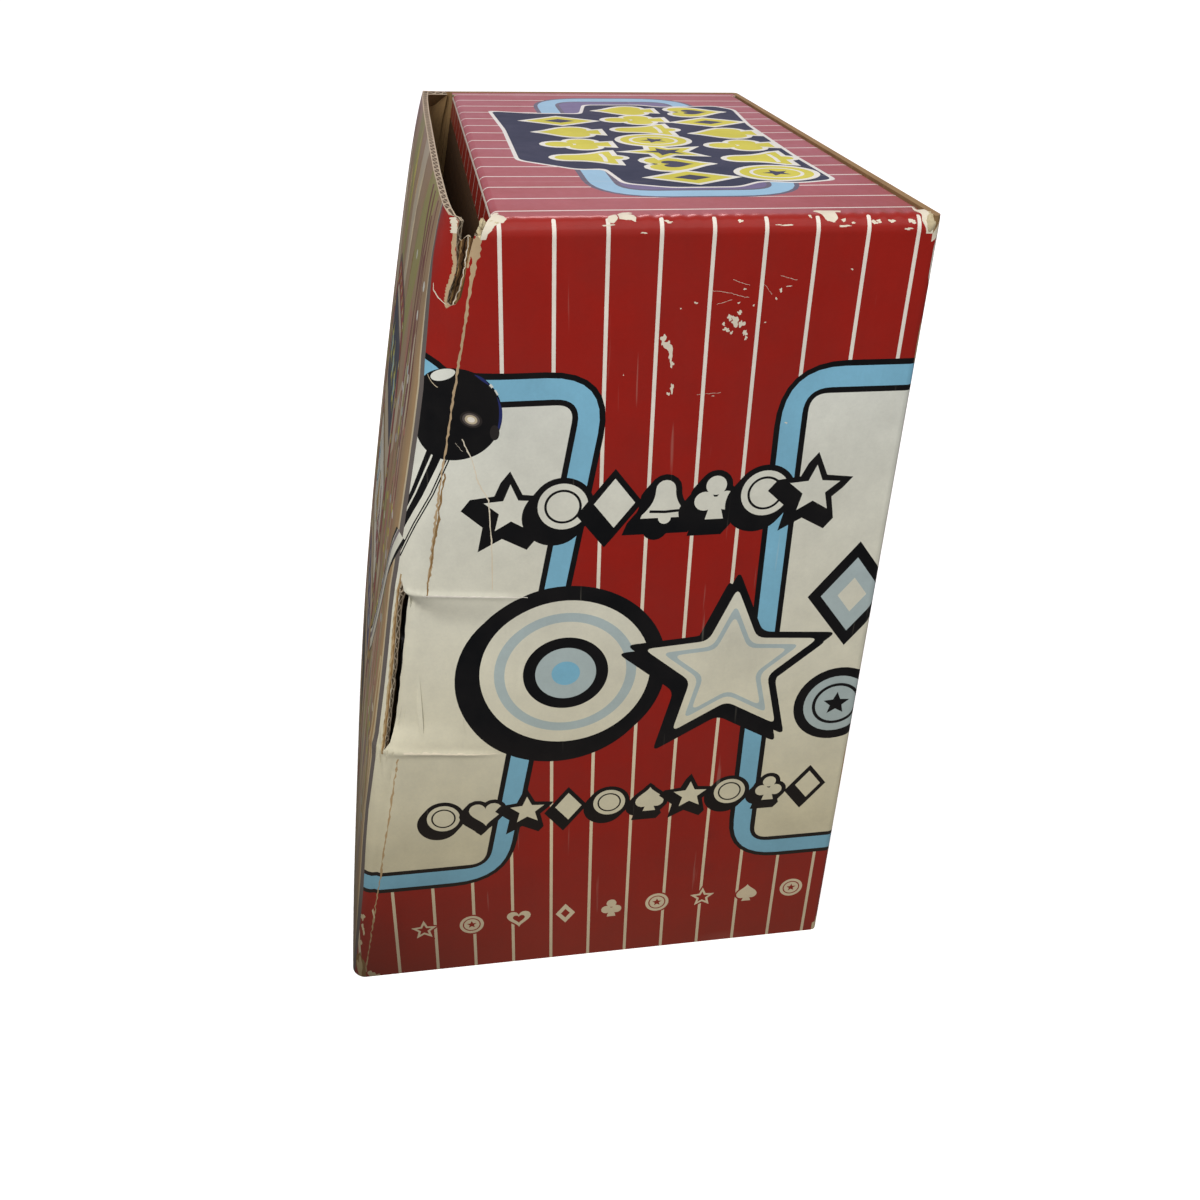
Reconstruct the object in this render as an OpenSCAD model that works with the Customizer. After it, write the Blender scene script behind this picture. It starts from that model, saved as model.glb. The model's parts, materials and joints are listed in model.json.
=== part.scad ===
// Slot machine coin bank, packed in its printed retail carton.
// The near side of the carton faces -Y and its leaning picture panel faces -X.

/* [Cabinet] */
// Width of the bank's cabinet, side to side
cab_w = 114; // [112:1:124]
// Depth of the cabinet at its foot
cab_d = 114; // [112:1:122]
// Height of the cabinet
cab_h = 166; // [162:1:176]
// Lean of the cabinet front and of the picture panel, in degrees
front_lean = 10.5; // [9.5:0.5:11.5]
// Wall of the moulded cabinet
cab_wall = 2.4; // [2:0.1:2.8]
// Radius of the cabinet's front shoulder
shoulder_r = 12; // [8:1:14]
// Thickness of the base plate and the rear cover
cover_t = 2.4; // [2:0.1:2.8]
// Height of the feet
foot_h = 3; // [2:0.5:4]
// Radius of the feet
foot_r = 6; // [5:0.5:7]

/* [Carton] */
// Thickness of the corrugated board
board_t = 1.6; // [1.4:0.1:1.8]
// Outward bow of the picture panel at its foot
front_bow = 4; // [2:0.5:6]
// Further bow that the picture panel gains towards its top
front_belly = 5.4; // [0:0.2:7]
// Room between the picture panel and the cabinet front
room_front = 6; // [5:0.5:9]
// Room behind the cabinet
room_back = 5; // [4:0.5:9]
// Room beside the cabinet on its plain side
room_far = 5; // [4:0.5:9]
// Room beside the cabinet for the lever
room_lever = 39.8; // [36:0.2:46]
// Room above the cabinet, under the lid
room_head = 27; // [25:1:32]
// Length of the tuck flap
tuck_len = 22; // [16:1:22]
// Length of the two ears
ear_len = 24; // [16:1:24]
// Width of the glue flap
glue_w = 14; // [10:1:20]
// Inward set of the tuck flap, in degrees
tuck_set = 5; // [4:0.5:7]
// Height of the packing tray's walls
tray_h = 24; // [16:1:30]
// Height of the spacer beside the lever
spacer_h = 42; // [34:1:44]

/* [Reels] */
// Outer radius of the reels
reel_r = 32; // [29:0.5:33]
// Width of a reel's rim
reel_w = 22; // [19:0.5:23]
// Height of the reel centres, up the leaning front
reel_up = 118; // [116:0.5:121]
// Radius of the reel axle
axle_r = 3; // [2.5:0.1:3.2]
// Points of the star wheels
star_n = 8; // [6:1:10]
// Outer radius of the star wheels
star_r = 14; // [12:0.5:15]

/* [Lever] */
// Height of the lever shaft above the cabinet's foot
shaft_up = 60; // [57:0.5:62]
// Distance of the lever shaft from the cabinet's back
shaft_in = 40; // [37:0.5:42]
// Radius of the lever shaft
shaft_r = 3; // [2.5:0.1:3.2]
// Distance from the shaft to the centre of the knob
lever_len = 74; // [68:1:76]
// Radius of the ball knob
knob_r = 13; // [11:0.5:13.5]
// Backward tilt of the lever at rest, in degrees
lever_rest = 6; // [4:1:9]
// Turns of the return spring
spring_turns = 6; // [4:1:8]

/* [Coins] */
// Length of the coin slot
coin_slot_l = 36; // [32:1:38]
// Width of the coin slot
coin_slot_w = 4.6; // [4.4:0.1:5]
// Radius of the coin plug
plug_r = 17; // [14:1:18]
// Width of the payout opening
payout_w = 60; // [50:1:66]
// Height of the payout opening
payout_h = 28; // [24:1:30]

/* [Hidden] */
$fn = 48;

// Clearances
run_gap = 0.05;
fit_gap = 0.3;
lid_gap = 0.4;
over = 1;

// Board layers under the cabinet
floor_t = 2 * board_t;
tray_floor = 2 * board_t;
cab_z = floor_t + tray_floor + foot_h;
cab_top = cab_z + cab_h;

// Outline of the carton
lean_slope = tan(front_lean);
board_x = board_t / cos(front_lean);
carton_foot = board_x + room_front + lean_slope * cab_z + cab_d + room_back + board_t;
carton_w = 2 * board_t + room_lever + cab_w + room_far;
carton_h = cab_top + room_head + board_t;
bow_x = front_bow / cos(front_lean);
back_x = (carton_foot + bow_x) / 2;
near_y = -carton_w / 2;
far_y = carton_w / 2;
function front_x(z) = back_x - carton_foot + lean_slope * z;

// Picture panel: its bow grows up from the foot and eases at the cut top edge
top_ease = 0.31;
roll_share = 0.83;
function bow_at(z) =
    front_bow + front_belly * (1 - pow(1 - z / carton_h, 3) - top_ease * pow(z / carton_h, 20));
function roll_r(z) = max(roll_share * bow_at(z), 1.25 * board_t);

// Folds: each is a bead of one board radius in a cradle
fold_z = carton_h - board_t;
fold_y = near_y + board_t;
fold_lip = 0.55 * board_t;
fold_bore = board_t + run_gap;
lid_x0 = front_x(carton_h) + board_x + lid_gap;
lid_x1 = back_x - board_t - lid_gap;
ear_x0 = lid_x0 + board_t;
ear_x1 = lid_x1 - board_t;
tuck_y = far_y - 2 * board_t - lid_gap;
ear_y0 = fold_y + 2 * board_t;
ear_y1 = tuck_y - 2 * board_t;
ear_taper = 9;

// Cabinet
cab_x1 = back_x - board_t - room_back;
cab_y0 = near_y + board_t + room_lever;
cab_y1 = cab_y0 + cab_w;
cab_yc = (cab_y0 + cab_y1) / 2;
wall_x = cab_wall / cos(front_lean);
function cab_x(z) = front_x(z) + board_x + room_front;
post_w = 8;
post_l = 14;
screw_r = 1.5;
head_r = 2.8;
head_t = 1.2;
inner_y0 = cab_y0 + cab_wall;
inner_y1 = cab_y1 - cab_wall;

// Reel carriage
frame_t = 2;
pane_t = 1.6;
reel_gap = 2.5;
reel_in = cab_wall + pane_t + reel_gap + reel_r;
reel_x = cab_x(cab_z) + reel_in * cos(front_lean) + reel_up * sin(front_lean);
reel_z = cab_z - reel_in * sin(front_lean) + reel_up * cos(front_lean);
reel_room = inner_y1 - inner_y0 - 2 * frame_t;
reel_pitch = (reel_room - 2) / 3;
strip_t = 0.3;
hub_r = axle_r + 3;
star_y = reel_w / 2 + 1;
star_t = 2.6;
hub_y0 = -6;
hub_y1 = star_y + star_t;
clip_t = 0.6;
tie_r = 2.5;
tie_x = reel_x - 28;
tie_z = reel_z - 37;

// Lever
shaft_x = cab_x1 - shaft_in;
shaft_z = cab_z + shaft_up;
bush_r = shaft_r + 4;
bush_flange = 2.5;
arm_y = cab_y0 - knob_r - 3.5;
arm_r = 2.8;
hub_y = cab_y0 - bush_flange - fit_gap;
shaft_to_reel = norm([reel_x - shaft_x, reel_z - shaft_z]);
kicker_r = shaft_to_reel - star_r - 0.6;
kicker_rest = 12;
sleeve_r = shaft_r + 1.4;
sleeve_l = 17;
wire_r = 0.6;
coil_r = sleeve_r + fit_gap + wire_r;

// Window, marquee, coin way and payout
win_w = 3 * reel_pitch - 5;
win_h = 42;
bezel_rim = 5;
bezel_t = 2;
marquee_t = 10;
marquee_w = cab_w - 30;
marquee_h = 20;
marquee_x = cab_x(cab_top) + shoulder_r + 1;
chute_wall = 1.5;
chute_room = 1;
chute_x = cab_x1 - cover_t - 10;
chute_z = shaft_z + 8;
slot_margin = 6;
payout_z = 18;
cup_wall = 1.6;
cup_d = 32;
pin_r = 1.5;
flap_t = 1.6;
flap_z = payout_z + payout_h + 2;
flap_in = cab_wall + 4;
plug_x = cab_x1 - plug_r - 22;

// Unit vector along v
function unit(v) = v / norm(v);

// Points of an arc of radius r that rounds the corner q between p and s
function corner(p, q, s, r, n) =
    let (
        u = unit(p - q),
        v = unit(s - q),
        half = acos(u * v) / 2,
        c = q + unit(u + v) * r / sin(half),
        a = q + u * r / tan(half) - c,
        b = q + v * r / tan(half) - c,
        a0 = atan2(a[1], a[0]),
        turn = (atan2(b[1], b[0]) - a0 + 540) % 360 - 180
    )
    [for (i = [0 : n]) c + r * [cos(a0 + turn * i / n), sin(a0 + turn * i / n)]];

// Polygon points with every corner rounded by its own radius
function rounded(pts, radii, n = 6) =
    let (k = len(pts))
    [for (i = [0 : k - 1])
        each radii[i] > 0
            ? corner(pts[(i + k - 1) % k], pts[i], pts[(i + 1) % k], radii[i], n)
            : [pts[i]]];

// Corners of a rectangle centred on the origin
function rect(w, h) = [[-w / 2, -h / 2], [w / 2, -h / 2], [w / 2, h / 2], [-w / 2, h / 2]];

// Extrude an outline in the XZ plane from y0 to y1
module along_y(y0, y1) {
    translate([0, y1, 0])
        rotate([90, 0, 0])
            linear_extrude(y1 - y0)
                children();
}

// Extrude an outline in the YZ plane from x0 to x1
module along_x(x0, x1) {
    translate([x0, 0, 0])
        rotate([90, 0, 90])
            linear_extrude(x1 - x0)
                children();
}

// Round bar along Y
module bar_y(r, y0, y1, x, z) {
    translate([x, y1, z])
        rotate([90, 0, 0])
            cylinder(r = r, h = y1 - y0);
}

// Round bar along X
module bar_x(r, x0, x1, y, z) {
    translate([x0, y, z])
        rotate([0, 90, 0])
            cylinder(r = r, h = x1 - x0);
}

// Block between two corners
module block(low, high) {
    translate(low)
        cube(high - low);
}

// Plate with rounded corners, centred, thick along X from x0 to x1
module plate_x(x0, x1, w, h, r) {
    along_x(x0, x1)
        polygon(rounded(rect(w, h), [r, r, r, r]));
}

// Place children on the leaning cabinet front: local -X points out, Z runs up the lean
module on_front(up = 0) {
    translate([cab_x(cab_z), cab_yc, cab_z])
        rotate([0, front_lean, 0])
            translate([0, 0, up])
                children();
}

// Carton walls

// Outline of a side panel between the leaning front and the back
module side_outline(top_z) {
    polygon([
        [front_x(0) + board_x, 0],
        [back_x - board_t, 0],
        [back_x - board_t, top_z],
        [front_x(top_z) + board_x, top_z]
    ]);
}

module near_side_panel() {
    color("firebrick")
        difference() {
            along_y(near_y, near_y + board_t)
                side_outline(fold_z - fold_lip);
            bar_x(fold_bore, front_x(0) - over, back_x + over, fold_y, fold_z);
        }
}

module far_side_panel() {
    color("firebrick")
        along_y(far_y - board_t, far_y)
            side_outline(carton_h);
}

// Curve across the picture panel at a height, set in from its outer face: [across, out] points.
// It runs up the near side's end, rolls through a quarter circle, crosses a shallow crown and rolls back.
function panel_curve(z, inset) =
    let (
        half = carton_w / 2,
        r = roll_r(z),
        crown = bow_at(z) - r,
        reach = half - r,
        roll = [for (k = [0 : 8]) 90 * k / 8],
        near = [for (a = roll) [-reach - (r - inset) * cos(a), (r - inset) * sin(a)]],
        flat = [for (k = [1 : 9]) [reach * (k / 5 - 1), r - inset]],
        far = [for (k = [8 : -1 : 0]) [-near[k][0], near[k][1]]],
        whole = concat(near, flat, far)
    )
    concat(
        [[inset - half, -board_t]],
        [for (p = whole) [p[0], p[1] + crown * (1 - pow(p[0] / half, 4))]],
        [[half - inset, -board_t]]
    );

// Two triangles of a four-cornered face
function halves(q) = [[q[0], q[1], q[2]], [q[0], q[2], q[3]]];

// Loft a closed shell through the outer and inner panel curves at even heights
module front_panel() {
    levels = 20;
    n = len(panel_curve(0, 0));
    points = [
        for (k = [0 : levels])
            let (z = carton_h * k / levels)
                for (inset = [0, board_t])
                    for (p = panel_curve(z, inset))
                        [front_x(z) - p[1] / cos(front_lean), p[0], z]
    ];
    function outer(k, i) = 2 * k * n + i;
    function inner(k, i) = (2 * k + 1) * n + i;
    skins = [
        for (k = [0 : levels - 1])
            for (i = [0 : n - 2])
                each concat(
                    halves([outer(k, i), outer(k, i + 1), outer(k + 1, i + 1), outer(k + 1, i)]),
                    halves([inner(k, i), inner(k + 1, i), inner(k + 1, i + 1), inner(k, i + 1)])
                )
    ];
    ends = [
        for (k = [0 : levels - 1])
            each concat(
                halves([outer(k, 0), outer(k + 1, 0), inner(k + 1, 0), inner(k, 0)]),
                halves([outer(k, n - 1), inner(k, n - 1), inner(k + 1, n - 1), outer(k + 1, n - 1)])
            )
    ];
    rims = [
        for (i = [0 : n - 2])
            each concat(
                halves([outer(0, i), inner(0, i), inner(0, i + 1), outer(0, i + 1)]),
                halves([outer(levels, i), outer(levels, i + 1), inner(levels, i + 1), inner(levels, i)])
            )
    ];
    color("peru")
        polyhedron(points, concat(skins, ends, rims));
}

// Section of the back panel with its two rounded folds
module back_panel() {
    half = carton_w / 2 - board_t;
    color("firebrick")
        linear_extrude(carton_h) {
            translate([back_x - board_t, -half])
                square([board_t, 2 * half]);
            for (side = [-1, 1])
                intersection() {
                    translate([back_x - board_t, side * half])
                        circle(r = board_t);
                    translate([back_x - board_t, side > 0 ? half : -half - board_t])
                        square(board_t);
                }
        }
}

module glue_flap() {
    x0 = back_x - 2 * board_t;
    top_z = fold_z - ear_len - 8;
    color("burlywood")
        along_x(x0, x0 + board_t)
            polygon([
                [fold_y, floor_t],
                [fold_y + glue_w, floor_t + glue_w / 2],
                [fold_y + glue_w, top_z - glue_w / 2],
                [fold_y, top_z]
            ]);
}

// Carton floor: two outer flaps that meet, two inner flaps across them

module near_bottom_flap() {
    color("burlywood")
        block([front_x(board_t) + board_x, fold_y, 0],
            [back_x - board_t, -fit_gap / 2, board_t]);
}

module far_bottom_flap() {
    color("burlywood")
        block([front_x(board_t) + board_x, fit_gap / 2, 0],
            [back_x - board_t, far_y - board_t, board_t]);
}

module front_bottom_flap() {
    color("burlywood")
        block([front_x(floor_t) + board_x, fold_y, board_t],
            [-fit_gap / 2, far_y - board_t, floor_t]);
}

module back_bottom_flap() {
    color("burlywood")
        block([fit_gap / 2, fold_y, board_t],
            [back_x - board_t, far_y - board_t, floor_t]);
}

// Lid: a panel on a rounded fold, with two ears and a tuck flap on folds of their own

module lid_panel() {
    color("firebrick")
        difference() {
            union() {
                block([lid_x0, fold_y, fold_z], [lid_x1, tuck_y, carton_h]);
                bar_x(board_t, lid_x0, lid_x1, fold_y, fold_z);
            }
            for (x = [ear_x0, ear_x1]) {
                bar_y(fold_bore, ear_y0 - lid_gap, ear_y1 + lid_gap, x, fold_z);
                block([x - (x == ear_x0 ? 2 * board_t : fold_lip), ear_y0 - lid_gap, fold_z - over],
                    [x + (x == ear_x0 ? fold_lip : 2 * board_t), ear_y1 + lid_gap, carton_h + over]);
            }
            bar_x(fold_bore, lid_x0 - over, lid_x1 + over, tuck_y, fold_z);
            block([lid_x0 - over, tuck_y - fold_lip, fold_z - over],
                [lid_x1 + over, tuck_y + over, carton_h + over]);
        }
}

module tuck_flap() {
    inset = 4;
    skin = 0.02;
    color("firebrick") {
        bar_x(board_t, lid_x0 + lid_gap, lid_x1 - lid_gap, tuck_y, fold_z);
        translate([0, tuck_y, fold_z])
            rotate([-tuck_set, 0, 0])
                along_y(0, board_t - skin)
                    polygon(rounded([
                        [lid_x0 + inset, -tuck_len],
                        [lid_x1 - inset, -tuck_len],
                        [lid_x1 - lid_gap, 0],
                        [lid_x0 + lid_gap, 0]
                    ], [8, 8, 0, 0]));
    }
}

// Ear outline in the YZ plane, hanging from a fold at height 0
module ear_outline() {
    polygon([
        [ear_y0, 0],
        [ear_y0 + ear_taper / 3, -ear_len],
        [ear_y1 - ear_taper, -ear_len],
        [ear_y1, 0]
    ]);
}

// The front ear hangs from its fold at the picture panel's lean
module front_ear() {
    skin = 0.02;
    color("firebrick") {
        bar_y(board_t, ear_y0, ear_y1, ear_x0, fold_z);
        translate([ear_x0, 0, fold_z])
            rotate([0, front_lean, 0])
                along_x(skin - board_t, 0)
                    ear_outline();
    }
}

module back_ear() {
    color("firebrick") {
        bar_y(board_t, ear_y0, ear_y1, ear_x1, fold_z);
        translate([0, 0, fold_z])
            along_x(ear_x1, ear_x1 + board_t)
                ear_outline();
    }
}

// Packing: a board tray round the bank's foot and a spacer beside the lever

module packing_tray() {
    x0 = cab_x(floor_t) - fit_gap - board_x;
    x1 = cab_x1 + fit_gap + board_t;
    y0 = cab_y0 - fit_gap - board_t;
    y1 = cab_y1 + fit_gap + board_t;
    rim_z = floor_t + tray_h;
    lip_z = cab_z + 8;
    base_z = floor_t + tray_floor;
    color("burlywood")
        difference() {
            along_y(y0, y1)
                polygon([
                    [x0, floor_t],
                    [x1, floor_t],
                    [x1, rim_z],
                    [x0 + lean_slope * (rim_z - floor_t), rim_z]
                ]);
            along_y(y0 + board_t, y1 - board_t)
                polygon([
                    [cab_x(base_z) - fit_gap, base_z],
                    [x1 - board_t, base_z],
                    [x1 - board_t, rim_z + over],
                    [cab_x(rim_z + over) - fit_gap, rim_z + over]
                ]);
            block([x0 - over, y0 + 10, lip_z], [cab_x(rim_z) + over, y1 - 10, rim_z + over]);
        }
}

module lever_spacer() {
    y0 = fold_y + fit_gap;
    y1 = cab_y0 - 2 * fit_gap - board_t;
    x0 = cab_x(floor_t) + 12;
    x1 = cab_x1 - 8;
    color("burlywood")
        translate([0, 0, floor_t])
            linear_extrude(spacer_h)
                difference() {
                    translate([x0, y0])
                        square([x1 - x0, y1 - y0]);
                    translate([x0 + board_t, y0 - over])
                        square([x1 - x0 - 2 * board_t, y1 - y0 - board_t + over]);
                }
}

// Cabinet of the bank

// Depth by which a screw post runs into the side wall beside it
post_root = cab_wall / 2;
function post_y0(y) = y - post_w / 2 - (y < cab_yc ? post_root : 0);
function post_y1(y) = y + post_w / 2 + (y > cab_yc ? post_root : 0);

// Screw post along X for the rear cover, at the corner given by y, z
module cover_post(y, z) {
    x1 = cab_x1 - cover_t;
    difference() {
        block([x1 - post_l, post_y0(y), z - post_w / 2], [x1, post_y1(y), z + post_w / 2]);
        bar_x(screw_r, x1 - post_l + 3, x1 + over, y, z);
    }
}

// Places of the rear cover's screws
cover_y = [inner_y0 + post_w / 2, inner_y1 - post_w / 2];
cover_z = [cab_z + cover_t + 20, cab_top - cab_wall - post_w / 2 - 4];

// Places of the base plate's screws
base_x = [cab_x(cab_z + post_l) + wall_x + post_w / 2 + 6, cab_x1 - cover_t - post_w / 2 - 4];

module base_post(x, y) {
    z0 = cab_z + cover_t;
    difference() {
        block([x - post_w / 2, post_y0(y), z0], [x + post_w / 2, post_y1(y), z0 + post_l]);
        translate([x, y, z0 - over])
            cylinder(r = screw_r, h = post_l - 3 + over);
    }
}

module cabinet_shell() {
    color("silver") {
        difference() {
            along_y(cab_y0, cab_y1)
                polygon(rounded([
                    [cab_x(cab_z), cab_z],
                    [cab_x1, cab_z],
                    [cab_x1, cab_top],
                    [cab_x(cab_top), cab_top]
                ], [0, 0, 1.5, shoulder_r]));
            along_y(inner_y0, inner_y1)
                polygon(rounded([
                    [cab_x(cab_z - over) + wall_x, cab_z - over],
                    [cab_x1 + over, cab_z - over],
                    [cab_x1 + over, cab_top - cab_wall],
                    [cab_x(cab_top - cab_wall) + wall_x, cab_top - cab_wall]
                ], [0, 0, 0, shoulder_r - cab_wall]));
            on_front(reel_up)
                plate_x(-over, cab_wall + over, win_w, win_h, 3);
            on_front(payout_z + payout_h / 2)
                plate_x(-over, cab_wall + over, payout_w, payout_h, 4);
            bar_y(bush_r, cab_y0 - over, inner_y0 + over, shaft_x, shaft_z);
            translate([chute_x, cab_yc, cab_top - cab_wall - over])
                linear_extrude(cab_wall + 2 * over)
                    square([coin_slot_w + chute_room, coin_slot_l + chute_room], center = true);
        }
        for (y = cover_y, z = cover_z)
            cover_post(y, z);
        for (x = base_x, y = cover_y)
            base_post(x, y);
    }
}

module base_plate() {
    x0 = cab_x(cab_z + cover_t) + wall_x + fit_gap;
    color("dimgray")
        difference() {
            block([x0, inner_y0 + fit_gap / 2, cab_z],
                [cab_x1, inner_y1 - fit_gap / 2, cab_z + cover_t]);
            translate([plug_x, cab_yc, cab_z - over])
                cylinder(r = plug_r + run_gap, h = cover_t + 2 * over);
            for (x = base_x, y = cover_y)
                translate([x, y, cab_z - over]) {
                    cylinder(r = screw_r, h = cover_t + 2 * over);
                    cylinder(r = head_r + 0.2, h = head_t + over);
                }
        }
}

module rubber_feet() {
    color("black")
        for (x = [base_x[0] + 12, base_x[1] - 12], y = [cover_y[0] + 12, cover_y[1] - 12])
            translate([x, y, cab_z - foot_h])
                cylinder(r1 = foot_r - 1, r2 = foot_r, h = foot_h);
}

module rear_cover() {
    z0 = cab_z + cover_t + fit_gap / 2;
    z1 = cab_top - cab_wall - fit_gap / 2;
    color("dimgray")
        difference() {
            block([cab_x1 - cover_t, inner_y0 + fit_gap / 2, z0], [cab_x1, inner_y1 - fit_gap / 2, z1]);
            for (y = cover_y, z = cover_z) {
                bar_x(screw_r, cab_x1 - cover_t - over, cab_x1 + over, y, z);
                bar_x(head_r + 0.2, cab_x1 - head_t, cab_x1 + over, y, z);
            }
            for (i = [-3 : 3])
                block([cab_x1 - cover_t - over, cab_yc - 24, reel_z + 9 * i - 1.5],
                    [cab_x1 + over, cab_yc + 24, reel_z + 9 * i + 1.5]);
        }
}

module cover_screws() {
    color("gainsboro")
        for (y = cover_y, z = cover_z) {
            bar_x(screw_r, cab_x1 - cover_t - 8, cab_x1 - head_t, y, z);
            difference() {
                bar_x(head_r, cab_x1 - head_t, cab_x1, y, z);
                block([cab_x1 - 0.6, y - head_r, z - 0.4], [cab_x1 + over, y + head_r, z + 0.4]);
            }
        }
}

module base_screws() {
    color("gainsboro")
        for (x = base_x, y = cover_y) {
            translate([x, y, cab_z + head_t])
                cylinder(r = screw_r, h = 8);
            difference() {
                translate([x, y, cab_z])
                    cylinder(r = head_r, h = head_t);
                block([x - head_r, y - 0.4, cab_z - over], [x + head_r, y + 0.4, cab_z + 0.6]);
            }
        }
}

// Front of the bank

module window_bezel() {
    color("gold")
        on_front(reel_up)
            difference() {
                union() {
                    plate_x(-bezel_t, 0, win_w + 2 * bezel_rim, win_h + 2 * bezel_rim, 5);
                    plate_x(0, cab_wall, win_w - fit_gap, win_h - fit_gap, 3 - fit_gap / 2);
                }
                for (k = [-1 : 1])
                    translate([0, k * reel_pitch, 0])
                        plate_x(-bezel_t - over, cab_wall + over, reel_w + 2, win_h - 6, 3);
            }
}

module window_pane() {
    color("lightcyan", 0.4)
        on_front(reel_up)
            plate_x(cab_wall, cab_wall + pane_t, win_w + 3, win_h + 6, 2);
}

// Arched outline of the marquee, standing on the cabinet top
module marquee_outline(inset) {
    half = marquee_w / 2 - inset;
    side_h = marquee_h - 10;
    rise = 10 - inset;
    arc_r = (half * half + rise * rise) / (2 * rise);
    sweep = asin(half / arc_r);
    translate([cab_yc, cab_top])
        polygon(concat(
            [[-half, inset], [half, inset]],
            [for (i = [0 : 24])
                let (a = sweep * (1 - i / 12))
                [arc_r * sin(a), side_h + rise - arc_r + arc_r * cos(a)]]
        ));
}

module marquee_frame() {
    color("gold")
        difference() {
            along_x(marquee_x, marquee_x + marquee_t)
                marquee_outline(0);
            along_x(marquee_x - over, marquee_x + 1.5)
                marquee_outline(3);
            along_x(marquee_x + 4, marquee_x + marquee_t + over)
                marquee_outline(2);
        }
}

module marquee_face() {
    color("firebrick") {
        along_x(marquee_x + 0.5, marquee_x + 1.5)
            marquee_outline(3 + fit_gap / 2);
        for (k = [-1 : 1])
            translate([marquee_x, cab_yc + k * marquee_w / 4, cab_top + 10])
                rotate([45, 0, 0])
                    block([0, -2.5, -2.5], [0.5, 2.5, 2.5]);
    }
}

// Coin way

module coin_slot_plate() {
    plate_t = 1.2;
    color("gold")
        translate([chute_x, cab_yc, cab_top])
            linear_extrude(plate_t)
                difference() {
                    polygon(rounded(rect(coin_slot_w + 2 * slot_margin - 2, coin_slot_l + 2 * slot_margin),
                        [4, 4, 4, 4]));
                    square([coin_slot_w, coin_slot_l], center = true);
                }
}

module coin_chute() {
    inner = [coin_slot_w + chute_room, coin_slot_l + chute_room];
    outer = inner + 2 * [chute_wall, chute_wall];
    top_z = cab_top - cab_wall;
    flange_t = 1.5;
    color("lightgray")
        difference() {
            union() {
                translate([chute_x, cab_yc, chute_z])
                    linear_extrude(top_z - chute_z)
                        square(outer, center = true);
                translate([chute_x, cab_yc, top_z - flange_t])
                    linear_extrude(flange_t)
                        square(outer + [4, 8], center = true);
            }
            translate([chute_x, cab_yc, chute_z - over])
                linear_extrude(top_z - chute_z + 2 * over)
                    square(inner, center = true);
        }
}

module payout_cup() {
    w = payout_w + 2 * fit_gap;
    mid = payout_z + payout_h / 2;
    h = payout_h + 10;
    color("lightgray")
        on_front(mid)
            difference() {
                union() {
                    plate_x(cab_wall, cab_wall + 1.5, w + 2 * cup_wall + 8, h + 2 * cup_wall + 4, 3);
                    block([cab_wall, -w / 2 - cup_wall, -h / 2 - cup_wall],
                        [cab_wall + cup_d, w / 2 + cup_wall, h / 2 + cup_wall]);
                }
                block([cab_wall - over, -w / 2, -h / 2], [cab_wall + cup_d - cup_wall, w / 2, h / 2]);
                block([cab_wall + 14, -w / 2 + 8, h / 2 - over], [cab_wall + cup_d - cup_wall, w / 2 - 8, h]);
                bar_y(pin_r + run_gap, -w, w, flap_in, flap_z - mid);
            }
}

module payout_flap() {
    half = payout_w / 2;
    pin_end = half + fit_gap + cup_wall;
    length = payout_h - 1;
    color("gold")
        on_front(flap_z)
            translate([flap_in, 0, 0]) {
                bar_y(pin_r, -pin_end, pin_end, 0, 0);
                rotate([0, -front_lean, 0])
                    along_y(-half, half)
                        polygon(rounded([
                            [-flap_t / 2, -length],
                            [flap_t / 2, -length],
                            [flap_t / 2, 0],
                            [-flap_t / 2, 0]
                        ], [0.7, 0.7, 0, 0], 3));
            }
}

module coin_plug() {
    flange_t = 1.4;
    color("black")
        translate([plug_x, cab_yc, cab_z])
            difference() {
                union() {
                    translate([0, 0, -flange_t])
                        cylinder(r = plug_r + 3, h = flange_t - 0.1);
                    translate([0, 0, -0.2])
                        cylinder(r = plug_r, h = cover_t + 0.4);
                    translate([0, 0, cover_t + 0.1])
                        cylinder(r = plug_r + 2, h = 2);
                }
                translate([0, 0, -flange_t - over])
                    linear_extrude(over + 2)
                        polygon(rounded(rect(2 * plug_r - 8, 5), [2.4, 2.4, 2.4, 2.4]));
                translate([0, 0, cover_t - 0.8])
                    cylinder(r = plug_r - 3, h = 4);
            }
}

// Reel carriage

// Outline of a flat link with round ends between two points
module link(a, b, r) {
    d = b - a;
    translate((a + b) / 2)
        rotate(atan2(d[1], d[0]))
            polygon(rounded(rect(norm(d) + 2 * r, 2 * r), [1, 1, 1, 1] * (r - 0.1), 8));
}

// Triangular side plate of the reel carriage
module frame_plate(y0, y1) {
    axle = [reel_x, reel_z];
    shaft = [shaft_x, shaft_z];
    tie = [tie_x, tie_z];
    along_y(y0, y1) {
        link(axle, shaft, 10);
        link(axle, tie, 7);
        link(tie, shaft, 7);
    }
}

module near_frame_plate() {
    y1 = inner_y0 + frame_t;
    color("lightsteelblue")
        difference() {
            frame_plate(inner_y0, y1);
            bar_y(axle_r, inner_y0 - over, y1 + over, reel_x, reel_z);
            bar_y(tie_r, inner_y0 - over, y1 + over, tie_x, tie_z);
            bar_y(bush_r, inner_y0 - over, y1 + over, shaft_x, shaft_z);
        }
}

module far_frame_plate() {
    y0 = inner_y1 - frame_t;
    color("lightsteelblue")
        difference() {
            frame_plate(y0, inner_y1);
            bar_y(axle_r, y0 - over, inner_y1 + over, reel_x, reel_z);
            bar_y(tie_r, y0 - over, inner_y1 + over, tie_x, tie_z);
            bar_y(shaft_r + run_gap, y0 - over, inner_y1 + over, shaft_x, shaft_z);
        }
}

module frame_tie_bar() {
    color("gainsboro")
        bar_y(tie_r, inner_y0, inner_y1, tie_x, tie_z);
}

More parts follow.
